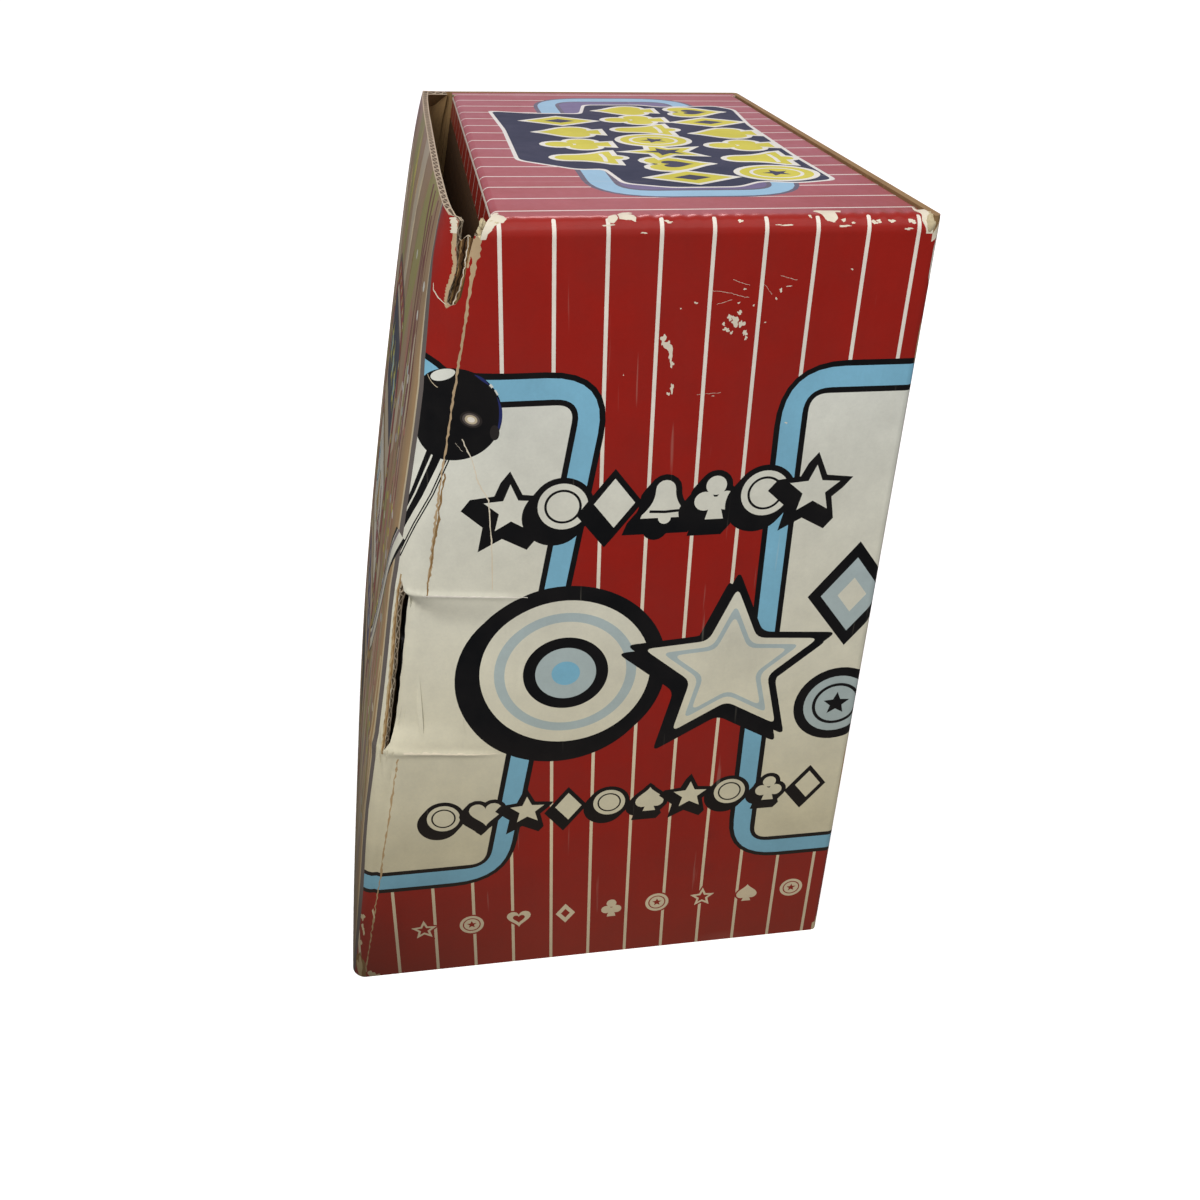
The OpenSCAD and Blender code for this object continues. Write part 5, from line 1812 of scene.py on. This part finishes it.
@dataclass
class Tuft:
    """A wad of torn and crushed paper at a corner: a lumpy ball pressed into an ellipsoid.

    Its radius carries seeded ridges: 1 + sum of height cos(k longitude + phase) sin(m latitude + phase).
    """

    name: str
    centre: Place
    size: Place
    seed: int
    roughness: float = 0.16
    rings: int = 22
    spokes: int = 34

    def build(self) -> Piece:
        """Makes the closed wad at its place.

        Returns:
            The new object.
        """
        rng = np.random.default_rng(self.seed)
        latitude = np.linspace(0, math.pi, self.rings + 1)[1:-1, None]
        longitude = np.linspace(0, 2 * math.pi, self.spokes, endpoint=False)[None]
        radius = np.ones((self.rings - 1, self.spokes))
        for k in (2, 3, 5, 7, 9, 12):
            phase, tilt = rng.uniform(0, 2 * math.pi, 2)
            ridge = self.roughness * 3 / (k + 2) * np.cos(k * longitude + phase)
            radius = radius + ridge * np.sin((k - 1) * latitude + tilt)
        level, height = np.sin(latitude), np.cos(latitude) + 0 * longitude
        unit = np.stack([level * np.cos(longitude), level * np.sin(longitude), height], -1)
        ball = (unit * radius[..., None]).reshape(-1, 3)
        verts = np.vstack([ball, (0, 0, 1), (0, 0, -1)]) * self.size + self.centre
        grid = np.arange(len(ball)).reshape(self.rings - 1, self.spokes)
        after = np.roll(grid, -1, 1)
        quads = np.stack([grid[:-1], grid[1:], after[1:], after[:-1]], -1).reshape(-1, 4).tolist()
        top, foot = len(ball), len(ball) + 1
        caps = [(top, a, b) for a, b in zip(grid[0].tolist(), after[0].tolist())]
        caps += [(foot, b, a) for a, b in zip(grid[-1].tolist(), after[-1].tolist())]
        mesh = bpy.data.meshes.new(self.name)
        mesh.from_pydata((verts * MM).tolist(), [], quads + caps)
        mesh.polygons.foreach_set("use_smooth", np.ones(len(mesh.polygons), bool))
        return add_object(self.name, mesh)


@dataclass
class Carton:
    """The printed carton: its boards, its skins over the kept boards, and their finishes."""

    sizes: CartonSizes
    effects: Effects
    stripe_pitch: float = SidePrint.stripe_pitch
    lid_stripe: float = 0.6

    def dressed(self, sheet: Sheet) -> Piece:
        """Builds a sheet, gives it its print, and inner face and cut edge.

        Args:
            sheet: The sheet.

        Returns:
            The piece.
        """
        piece = sheet.build()
        for material in (self.print, self.kraft, self.edge):
            piece.data.materials.append(material)
        return piece

    def build(self) -> None:
        """Builds the finishes, then each printed piece in order."""
        self.print = PrintedVarnish().make(self.effects)
        self.kraft = BareBoard().make(self.effects)
        self.edge = CutEdge(board=self.sizes.board).make(self.effects)
        self.wrap = WrapBoard(self.sizes)
        self.near_and_front()
        self.torn_flutes()
        self.tufts()
        self.lid_board()
        self.front_ear()
        self.back_ear()
        self.tuck()
        self.far_side()
        self.back()

    def near_and_front(self) -> None:
        """The near side and the picture panel, in one folded board."""
        wrap = self.wrap
        corner = wrap.laid([(0.3, 70), (0.3, 128), (8, 128), (8, 70)])
        sheet = Sheet(
            name="near_side_and_picture_panel",
            outline=wrap.outline(),
            place=wrap.place,
            patches=SidePrint(self.sizes).field() + PicturePrint(wrap).field() + Wear(wrap).near_side(),
            holes=[wrap.slit()],
            guides=wrap.corner_guides() + wrap.crease_guides(),
            dense=[(box_loop(-62, 80, -12, 119), 1.6), (corner, 0.8)],
            pitch=4.0,
            thickness=self.sizes.board + LINER,
        )
        piece = self.dressed(sheet)
        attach(piece, "carton")
        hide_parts("near_side_panel", "front_panel")

    def torn_flutes(self) -> None:
        """The board's bare flutes inside the tear, as a waved strip under the torn face.

        Its depth is 0.95 + 0.4 sin(2 pi s / 1.9) + 0.12 sin(z) millimetres, with s the way round the corner.
        """
        wrap = self.wrap

        def place(flat: Array) -> Array:
            """The strip's points, laid on the corner at the waved depth."""
            wave = 0.4 * np.sin(2 * math.pi * wrap.across(flat) / 1.9 + 0.6)
            return wrap.place(flat, 0.95 + wave + 0.12 * np.sin(flat[:, 1]))

        rng = np.random.default_rng(SEED + 11)
        # The near-black streak is painted shade in a hollow between flutes.
        streaks = ((1.6, 2.4, 0.45, Ink.KRAFT), (2.5, 3.2, 0.35, Ink.HOLLOW_SHADE))
        streaks += ((3.3, 3.9, 0.6, Ink.KRAFT), (2.0, 2.7, 0.25, Ink.PAPER))
        patches = []
        for s0, s1, wide, ink in streaks:
            z = np.linspace(200.5, 187.2, 24)
            way = np.interp(z, (187, 194, 201), (s1 + 0.5, s0, s0 + 0.2)) + 0.1 * rng.normal(0, 1, 24)
            width = wide * rng.uniform(0.4, 1.3, 24)
            patches.append(Patch(strand(wrap.flat_point(way, z), width), ink, 0.0))
        rows = [(0.5, 200.2), (0.8, 190.0), (2.2, 186.4), (4.8, 185.9), (5.0, 192.0), (4.9, 200.0)]
        outline = wrap.laid(rows + [(3.6, 199.4), (2.4, 200.6)])
        sheet = Sheet("torn_flutes", outline, place, Ink.FLUTE, patches)
        sheet.pitch, sheet.thickness, sheet.base_gloss = 0.35, 0.22, 0.0
        piece = self.dressed(sheet)
        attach(piece, "carton")

    def tufts(self) -> None:
        """The crushed paper at the lid fold's two ends, and flakes beside the tear."""
        paper = BareBoard("torn_paper", Ink.PULP).make(self.effects)
        s = self.sizes
        near, top = s.near_y, s.height
        wads = (
            ("crushed_back_corner", (s.back_x - 1.9, near + 1.8, top - 2.3), (1.9, 1.8, 2.2), 0.16),
            ("torn_front_corner", (-24.2, near + 1.9, top - 2.2), (1.3, 1.2, 1.3), 0.3),
            ("torn_front_flake", (-22.6, near + 1.6, top - 0.9), (1.3, 0.7, 0.42), 0.34),
            ("torn_corner_flake", (-25.3, near + 0.7, top - 3.4), (0.9, 0.4, 0.5), 0.34),
            ("torn_corner_shred", (-24.9, near + 1.2, top - 0.9), (0.5, 0.45, 0.9), 0.36),
        )
        for i, (name, centre, size, rough) in enumerate(wads):
            piece = Tuft(name, centre, size, SEED + 20 + i, rough).build()
            piece.data.materials.append(paper)
            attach(piece, "carton")

    def lid_stripes(self) -> list[Patch]:
        """Cream lines across the lid, one at each step from the middle."""
        half, steps = self.lid_stripe / 2, [m * self.stripe_pitch for m in range(-7, 8)]
        return [Patch(box_loop(-60, y - half, 90, y + half), Ink.STRIPE) for y in steps]

    def lid_figures(self) -> list[Patch]:
        """The lid's frame, and the dark block with three columns of bright figures on it.

        Returns:
            The patches.
        """
        bands = ((0.0, Ink.NAVY), (1.2, Ink.SKY), (6.6, Ink.NAVY), (7.8, Ink.PURPLE))
        patches = banded(box_loop(-1, -63.4, 47, 68), bands, 12, 3)
        rows = [(-13.7, 43.7), (-12.2, 15.1), (-12.4, -24), (0.1, -34.3), (6.3, -33.4), (8.2, -49)]
        rows += [(17.5, -53.3), (32.2, -53.1), (38.5, -47.6), (47, -49.6), (55.4, -47.1), (54.4, -19)]
        rows += [(54.6, 22.5), (56.9, 47.5), (52.8, 53.4), (35.6, 51.5), (31.3, 55.1), (14.5, 55.0)]
        block = np.array(rows + [(11.5, 40.0), (-2.9, 40.5)], float)
        patches.append(Patch(rounded(offset(block, 1.0), 2.5, 4), Ink.CREAM))
        patches.append(Patch(rounded(block, 2.5, 4), Ink.NAVY, 0.35))
        kinds = motifs("bell star diamond clover coin heart spade")
        columns = ((3.6, -21, 29, 4), (24.2, -43.5, 45.5, 7), (44.8, -39.5, 43.5, 6))
        looks = {"body": Ink.YELLOW, "line": Ink.CREAM, "detail": Ink.NAVY, "edge": 1.25}
        for column, (x, low, high, count) in enumerate(columns):
            for i, y in enumerate(np.linspace(low, high, count)):
                for part in stamped(kinds[(3 * i + 2 * column) % 7], (0, 0), 7.6, **looks):
                    loop = turned(part.loop, 90) * (1.12, 1.0) + (x, float(y))
                    patches.append(Patch(loop, part.ink, 0.5))
        return patches

    def lid_board(self) -> None:
        """The lid and the soft roll that joins it to the near side, in one board.

        The flat sheet is laid out in x and in the way up from the near side's head: up the side, round
        a quarter circle, and on over the lid.
        """
        s = self.sizes
        flap = Flap(s.roll + LINER, math.pi / 2)
        start = self.wrap.near_top
        rise = s.height - s.roll - start
        level = s.near_y + s.roll - flap.arc - rise

        def place(p: Array) -> Array:
            """From the side's head round the roll and on over the lid.

            Args:
                p: The flat points.

            Returns:
                The points in place.
            """
            way = p[:, 1] - rise
            angle = np.clip(way / flap.radius, 0, flap.turn)
            y = s.near_y + s.roll - flap.radius * np.cos(angle) + np.clip(way - flap.arc, 0, None)
            z = s.height - s.roll + np.minimum(way, 0) + flap.radius * np.sin(angle)
            ripple = 0.085 * np.sin(2 * math.pi * p[:, 0] / 3.2) * (1 + 0.6 * np.sin(p[:, 0] / 7.3))
            window = np.sin(angle) ** 2 * np.clip(1 - (way - flap.arc) / 3, 0, 1)
            y, z = y - ripple * window * np.cos(angle), z + ripple * window * np.sin(angle)
            over, along = (y - s.near_y - 6) / 140, (p[:, 0] - s.lid_x0) / (s.lid_x1 - s.lid_x0)
            dip = 0.25 * np.sin(math.pi * np.clip(over, 0, 1)) * np.sin(math.pi * np.clip(along, 0, 1))
            return np.stack([p[:, 0], y, z - dip], 1)

        bend = rise + flap.arc
        x0, x1, ear0, ear1 = s.lid_x0, s.lid_x1, s.lid_x0 + s.board, s.lid_x1 - s.board
        ear_v = s.near_y + 3 * s.board - level
        end_v, last_v = s.tuck_y - s.board - level, s.tuck_y - 3 * s.board - level
        left, right = s.front_x(start) + 0.3, s.back_x - s.board
        rows = [(left, 0), (right, 0), (right, rise), (x1 + 0.6, bend - 1.5), (x1, bend), (x1, ear_v)]
        rows += [(ear1, ear_v), (ear1, last_v), (x1, last_v), (x1, end_v), (x0, end_v), (x0, last_v)]
        rows += [(ear0, last_v), (ear0, ear_v), (x0, ear_v), (x0, bend), (left + 0.4, rise + 1.0)]
        lines = SidePrint(s).stripes(1, 12, start + rise + 3.7)
        patches = [Patch(rounded(p.loop, 0.45, 3) - (0, start), p.ink) for p in lines]
        top = self.lid_stripes() + self.lid_figures()
        patches += [Patch(p.loop - (0, level), p.ink, p.gloss) for p in top] + Wear(self.wrap).lid_fold()
        steps = [*(rise + flap.arc * k for k in np.linspace(0, 1, 9)), bend + 1.2, bend + 3.0]
        run = np.linspace(left, right, 115)
        sheet = Sheet(
            name="lid_board",
            outline=np.array(rows),
            place=place,
            patches=patches,
            guides=[np.stack([run, np.full_like(run, v)], 1) for v in steps],
            pitch=5.0,
            thickness=s.board + LINER,
        )
        piece = self.dressed(sheet)
        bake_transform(piece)
        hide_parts("lid_panel")

    def front_ear(self) -> None:
        """The lid's front ear, hanging behind the picture panel at the same lean, its lower part painted dark
        brown as painted shade.
        """
        s = self.sizes
        flap = Flap(s.board + LINER, math.pi / 2 - s.lean)
        length = flap.arc + (s.fold_z - s.ear_foot_z) / math.cos(s.lean)

        def place(p: Array) -> Array:
            """From the lid's edge round the fold's arc, and then straight down at the front's lean."""
            out, up = flap.section(-p[:, 0])
            return np.stack([s.lid_x0 + s.board - out, p[:, 1], s.fold_z + up], 1)

        y0, y1 = s.near_y + 3 * s.board, s.tuck_y - 3 * s.board
        rows = [(0, y0), (0, y1), (-flap.arc, y1), (-length, y1 - 5), (-length, y0 + 1.7), (-flap.arc, y0)]
        patches = self.lid_stripes()
        # Painted shade: the ear below its fold is dark brown and unvarnished, for the deep gap behind the
        # picture panel.
        patches.append(Patch(box_loop(-length - 3, y0 - 3, -flap.arc - 5.0, y1 + 3), Ink.FLUTE, 0.0))
        patches.append(Patch(box_loop(-flap.arc * 0.97, y0 - 3, -flap.arc * 0.72, y1 + 3), Ink.STRIPE))
        rng = np.random.default_rng(SEED + 12)
        patches.append(Patch(ragged((-flap.arc * 0.5, y0 + 0.3), (1.6, 1.1), rng), Ink.PAPER, 0.0))
        sheet = Sheet(
            name="front_ear_board",
            outline=np.array(rows),
            place=place,
            patches=patches,
            guides=lines_at([-flap.arc * k for k in (0.2, 0.4, 0.6, 0.8, 1.0)], y0, y1),
            pitch=5.0,
            thickness=s.board + LINER,
        )
        piece = self.dressed(sheet)
        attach(piece, "ear_front")
        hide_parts("front_ear")

    def skin(
        self, name: str, node: str, flap: Flap, across: Point, hinge: Point, length: float, along_x: bool
    ) -> None:
        """Lays a striped skin over a flap of the lid.

        Args:
            name: The piece's name.
            node: The body it rides.
            flap: The flap's section.
            across: Where it starts and ends along its hinge.
            hinge: The hinge's place across and its height.
            length: The flap's straight length.
            along_x: Whether the hinge runs along x.
        """

        def place(p: Array) -> Array:
            """Round the hinge and down, with the first flat axis along the way.

            Args:
                p: The flat points.

            Returns:
                The points in place.
            """
            out, up = flap.section(p[:, 0])
            points = [hinge[0] + out, p[:, 1], hinge[1] + up]
            if along_x:
                points = [-p[:, 1], hinge[0] + out, hinge[1] + up]
            return np.stack(points, 1)

        low, high = across
        end = flap.arc + length
        rows = [(0, low), (flap.arc, low), (end, low + 5), (end, high - 5), (flap.arc, high), (0, high)]
        steps = np.arange(-9, 10) * self.stripe_pitch
        half = self.lid_stripe / 2
        patches = [Patch(box_loop(-4, y - half, 90, y + half), Ink.STRIPE) for y in steps if low < y < high]
        guides = lines_at([flap.arc * k for k in (0.25, 0.5, 0.75, 1.0)], low, high)
        piece = self.dressed(Sheet(name, np.array(rows), place, Ink.RED, patches, guides=guides))
        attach(piece, node)

    def back_ear(self) -> None:
        """The skin over the lid's back ear."""
        s = self.sizes
        flap = Flap(s.board + LINER, math.pi / 2)
        across = (s.near_y + 3 * s.board, s.tuck_y - 3 * s.board)
        self.skin("back_ear_print", "ear_back", flap, across, (s.lid_x1 - s.board, s.fold_z), 20.0, False)

    def tuck(self) -> None:
        """The skin over the tuck flap."""
        s = self.sizes
        box = [np.array(c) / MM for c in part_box("tuck_flap")]
        flap = Flap(s.board + LINER, math.pi / 2)
        across = (-float(box[1][0]), -float(box[0][0]))
        self.skin("tuck_print", "tuck", flap, across, (s.tuck_y - s.board, s.fold_z), 12.0, True)

    def far_side(self) -> None:
        """The far side's printed face, which carries the near side's design."""
        s = self.sizes
        x1, top = s.back_x - s.board, s.height
        flip = np.array((-1.0, 1.0))
        outline = np.array([(s.front_x(0) + 0.1, 0), (s.front_x(top) + 0.1, top), (x1, top), (x1, 0)])
        sheet = Sheet(
            name="far_side_print",
            outline=outline * flip,
            place=lambda p: np.stack([-p[:, 0], np.full(len(p), s.far_y + LINER), p[:, 1]], 1),
            patches=[Patch(p.loop * flip, p.ink, p.gloss) for p in SidePrint(s).field(False)],
            pitch=8.0,
        )
        piece = self.dressed(sheet)
        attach(piece, "carton")

    def back(self) -> None:
        """The back's printed face and both upright corners, where the sides' frames run together."""
        s = self.sizes
        radius = s.board + LINER
        turn = radius * math.pi / 2
        flat = s.width - 2 * s.board

        def place(p: Array) -> Array:
            """From the near side round its corner, across the back and round to the far side.

            Args:
                p: The flat points.

            Returns:
                The points in place.
            """
            way = p[:, 0]
            near = np.clip(way / radius, 0, math.pi / 2)
            far = np.clip((way - turn - flat) / radius, 0, math.pi / 2)
            x = s.back_x - s.board + radius * np.sin(near) - radius * (1 - np.cos(far))
            y = s.near_y + s.board - radius * np.cos(near) + np.clip(way - turn, 0, flat)
            return np.stack([x, y + radius * np.sin(far), p[:, 1]], 1)

        end, top = 2 * turn + flat, s.height
        rows = [(0, 0), (end, 0), (end, top), (turn, top), (turn * 0.6, top - 1.4), (0, self.wrap.near_top)]
        side = SidePrint(s)
        steps = np.arange(6.0, end, self.stripe_pitch)
        patches = [Patch(box_loop(x - 0.475, -2, x + 0.475, 206), Ink.STRIPE) for x in steps]
        patches += side.framed(box_loop(-40, side.frame_foot, end + 40, side.frame_head))
        looks = {"body": Ink.PALE_BLUE, "detail": Ink.CREAM, "edge": 2.2}
        for i, kind in enumerate(motifs("star coin bell coin star")):
            patches += stamped(kind, (end / 2 + 26 * (i - 2), 103), 10.0, **looks)
        for figure in side.fold_figures():
            loop = figure.loop - (s.back_x - s.board, 0)
            patches.append(Patch(loop, figure.ink))
            patches.append(Patch((loop * (-1, 1) + (end, 0))[::-1], figure.ink))
        rng = np.random.default_rng(SEED + 13)
        chips = (
            (0.9, 202.5, 1.6, 3.2, Ink.PAPER), (1.3, 195.4, 0.5, 3.4, Ink.CREAM),
            (1.5, 192.6, 0.3, 2.0, Ink.PAPER), (1.2, 178.0, 0.2, 6.0, Ink.TORN),
            (1.1, 60.0, 0.25, 9.0, Ink.TORN), (1.2, 2.0, 1.4, 2.6, Ink.PAPER),
        )
        for x, z, a, b, ink in chips:
            patches.append(Patch(ragged((x, z), (a, b), rng, 0.35), ink, 0.1))
        turns = [x for k in (0.25, 0.5, 0.75, 1) for x in (turn * k, end - turn * k)]
        sheet = Sheet("back_print", np.array(rows, float), place, Ink.RED, patches, pitch=8.0)
        sheet.guides = lines_at(turns, 0, top)
        piece = self.dressed(sheet)
        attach(piece, "carton")


@dataclass
class Bank:
    """The bank inside the carton: its nodes keep their meshes and get their finishes by material slot."""

    frame: dict
    effects: Effects

    def finishes(self) -> dict[str, Material]:
        """One finish for each of the record's material slots."""
        made = {
            "cabinet_plastic": Moulding("silver_moulding", (0.46, 0.47, 0.49), 0.32, 0.35, 0.08, 0.3),
            "dark_plastic": Moulding("dark_moulding", (0.02, 0.02, 0.023), 0.45, 0.0, 0.3),
            "rubber_feet": Moulding("black_rubber", (0.012, 0.012, 0.012), 0.75, 0.0, 0.5),
            "screw_steel": Moulding("screw_zinc", (0.55, 0.55, 0.53), 0.3, 1.0, 0.1),
            "gilt_plastic": Moulding("gilt_lacquer", (0.72, 0.47, 0.1), 0.25, 0.75, 0.06, 0.5),
            "red_plastic": Moulding("red_moulding", (0.42, 0.02, 0.015), 0.25, 0.0, 0.05, 0.4),
            "grey_plastic": Moulding("grey_moulding", (0.32, 0.32, 0.33), 0.5, 0.0, 0.2),
            "frame_steel": Moulding("zinc_plate", (0.5, 0.52, 0.54), 0.35, 1.0, 0.2),
            "bright_steel": Moulding("drawn_wire", (0.6, 0.6, 0.6), 0.22, 1.0, 0.05),
            "ivory_plastic": Moulding("ivory_moulding", (0.7, 0.65, 0.5), 0.35, 0.0, 0.08, 0.2),
            "reel_paper": Moulding("reel_paper", (0.8, 0.77, 0.68), 0.6, 0.0, 0.2),
            "chrome_plate": Moulding("chrome", (0.78, 0.79, 0.8), 0.08, 1.0, 0.02),
            "black_plastic": Moulding("knob_gloss", (0.01, 0.01, 0.011), 0.08, 0.0, 0.02, 0.8),
            "clear_pane": ClearPane(),
            "kraft_board": BareBoard("inner_board"),
            "printed_board": BareBoard("board_core"),
        }
        return {slot: finish.make(self.effects) for slot, finish in made.items()}

    def dress(self) -> None:
        """Gives every CAD node the finish of its slot."""
        finishes = self.finishes()
        slots = {part["node"]: part["material_slot"] for part in self.frame["record"]["subparts"]}
        for name, node in self.frame["nodes"].items():
            node.data.materials.clear()
            node.data.materials.append(finishes[slots[name]])
        log.info("bank: %d nodes dressed", len(self.frame["nodes"]))


@dataclass
class ReelPrints:
    """The printed paper round each reel: eight figures, one at each of the star wheel's stops."""

    effects: Effects
    lean: float
    stops: int = 8
    figure: float = 7.6

    def build(self) -> None:
        """Wraps a print round each reel's strip and lets it ride the reel."""
        paper = PrintedVarnish("reel_print", ripple=0.3, foot_darkening=0.1, front_painted_shade=0.0).make(self.effects)
        liner = BareBoard("reel_liner", Ink.STONE).make(self.effects)
        reels = (("left", "reel_l"), ("middle", "reel_m"), ("right", "reel_r"))
        for shift, (side, body) in enumerate(reels):
            piece = self.wrapped(side + "_reel_print", side + "_strip", 3 * shift)
            for material in (paper, liner, liner):
                piece.data.materials.append(material)
            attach(piece, body)

    def wrapped(self, name: str, node: str, shift: int) -> Piece:
        """Makes one print.

        Args:
            name: The piece's name.
            node: The CAD strip that it covers.
            shift: How many figures the row starts later.

        Returns:
            The wrapped sheet. Its first axis runs upwards over the reel's front, its second along the axle.
        """
        low, high = (np.array(c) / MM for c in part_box(node))
        radius = float(high[2] - low[2]) / 2 + LINER
        middle = (low + high) / 2
        round_way = 2 * math.pi * radius
        step = round_way / self.stops

        def place(p: Array) -> Array:
            """Round the reel from the back, so that figure number four faces the leaning window.

            Args:
                p: The flat points.

            Returns:
                The points in place.
            """
            angle = -p[:, 0] / radius + math.pi / self.stops - self.lean
            x, z = middle[0] + radius * np.cos(angle), middle[2] + radius * np.sin(angle)
            return np.stack([x, p[:, 1], z], 1)

        kinds = motifs("cherry bell star heart clover coin spade diamond")
        bodies = (Ink.RED, Ink.GOLD, Ink.SKY, Ink.RED, Ink.GREEN, Ink.YELLOW, Ink.NAVY, Ink.PURPLE)
        patches = []
        for i in range(self.stops):
            pick = (i + shift) % self.stops
            at = (step * (i + 0.5), float(middle[1]))
            looks = {"body": bodies[pick], "detail": Ink.CREAM, "edge": 0.5}
            for patch in stamped(kinds[pick], (0, 0), self.figure, **looks):
                patches.append(Patch(turned(patch.loop, -90) + at, patch.ink, 0.6))
            if i:
                line = box_loop(step * i - 0.2, low[1] + 2, step * i + 0.2, high[1] - 2)
                patches.append(Patch(line, Ink.SLATE, 0.6))
        ends = float(low[1]) + 0.05, float(high[1]) - 0.05
        lines = np.arange(2.0, round_way - 1.0, 2.0)
        return Sheet(
            name=name,
            outline=box_loop(0, ends[0], round_way - 0.05, ends[1]),
            place=place,
            base=Ink.CREAM,
            patches=patches,
            guides=lines_at(lines, *ends),
            pitch=4.0,
            base_gloss=0.6,
        ).build()


@dataclass
class Studio:
    """The plain floor, and the soft lights round the object."""

    floor_half: float = 8.0

    def build(self) -> None:
        """Adds the floor, the lights and the pale surroundings."""
        self.floor()
        self.light("key", (-0.28, -0.56, 0.62), 0.3, 2.93, (1, 0.97, 0.93))
        self.light("sheen", (0.0, 1.9, 0.62), 1.8, 2.9, (0.8, 0.56, 1.0))
        self.light("rim", (0.18, 0.95, 0.95), 0.28, 2.8, (1, 0.69, 0.69))
        self.sky_light((0.14, -0.5, 1.0), 0.9)
        world = bpy.data.worlds.new("surroundings")
        world.use_nodes = True
        s = Shader(world.node_tree)
        rays = s.add("LightPath")
        strength = s.maths("MULTIPLY_ADD", rays.outputs["Is Camera Ray"], 0.65, 0.35)
        s.join(strength, world.node_tree.nodes["Background"].inputs[1])
        world.node_tree.nodes["Background"].inputs[0].default_value = (1, 1, 1, 1)
        bpy.context.scene.world = world
        bpy.context.scene.view_settings.view_transform = "Standard"

    @staticmethod
    def light(name: str, place: Place, size: float, power: float, tint: Place) -> None:
        """Adds a square area light that faces the object's middle.

        Args:
            name: The light's name.
            place: Where it stands, in metres.
            size: Its side, in metres.
            power: Its power, in watts.
            tint: Its colour.
        """
        data = bpy.data.lights.new(name, "AREA")
        data.size, data.energy, data.color = size, power, tint
        turn = (Vector((0, 0, 0.15)) - Vector(place)).to_track_quat("-Z", "Y").to_matrix().to_4x4()
        add_object(name, data, Matrix.Translation(place) @ turn)

    @staticmethod
    def sky_light(place: Place, strength: float) -> None:
        """Adds one broad light as even as an overcast sky, from a direction.

        Args:
            place: The direction it comes from.
            strength: Its strength.
        """
        data = bpy.data.lights.new("sky", "SUN")
        data.angle, data.energy = math.radians(60), strength
        add_object("sky", data, (-Vector(place)).to_track_quat("-Z", "Y").to_matrix().to_4x4())

    def floor(self) -> None:
        """Adds the floor, a grid that lies at z = 0.

        It is pale to the camera and dull to every other ray, so that it puts no haze on the varnish.
        """
        side = np.linspace(-self.floor_half, self.floor_half, 5)
        x, y = np.meshgrid(side, side)
        verts = np.stack([x.ravel(), y.ravel(), np.zeros(25)], 1)
        start = (np.arange(4)[:, None] * 5 + np.arange(4)[None]).ravel()
        faces = np.stack([start, start + 1, start + 6, start + 5], 1)
        mesh = bpy.data.meshes.new("floor")
        mesh.from_pydata(verts.tolist(), [], faces.tolist())
        material, s, surface = new_material("floor_paper", in_Roughness=0.9, in_Specular_IOR_Level=0.1)
        noise = s.add("TexNoise", "tone", in_Scale=3.0)
        pale = s.mixed(noise.outputs[0], (0.96, 0.96, 0.96, 1), (0.98, 0.98, 0.98, 1))
        rays = s.add("LightPath")
        seen = s.mixed(rays.outputs["Is Camera Ray"], (0.14, 0.14, 0.14, 1), pale)
        s.join(seen, surface.inputs["Base Color"])
        surface.inputs["Emission Color"].default_value = (1, 1, 1, 1)
        s.join(s.maths("MULTIPLY", rays.outputs["Is Camera Ray"], 0.5), surface.inputs["Emission Strength"])
        mesh.materials.append(material)
        add_object("floor", mesh)


def main() -> None:
    """Builds the view, the carton, the bank and the studio."""
    Camera().place()
    effects = Effects()
    Bank(frame, effects).dress()
    sizes = CartonSizes.from_frame()
    ReelPrints(effects, sizes.lean).build()
    Carton(sizes, effects).build()
    Studio().build()


if __name__ == "__main__":
    main()
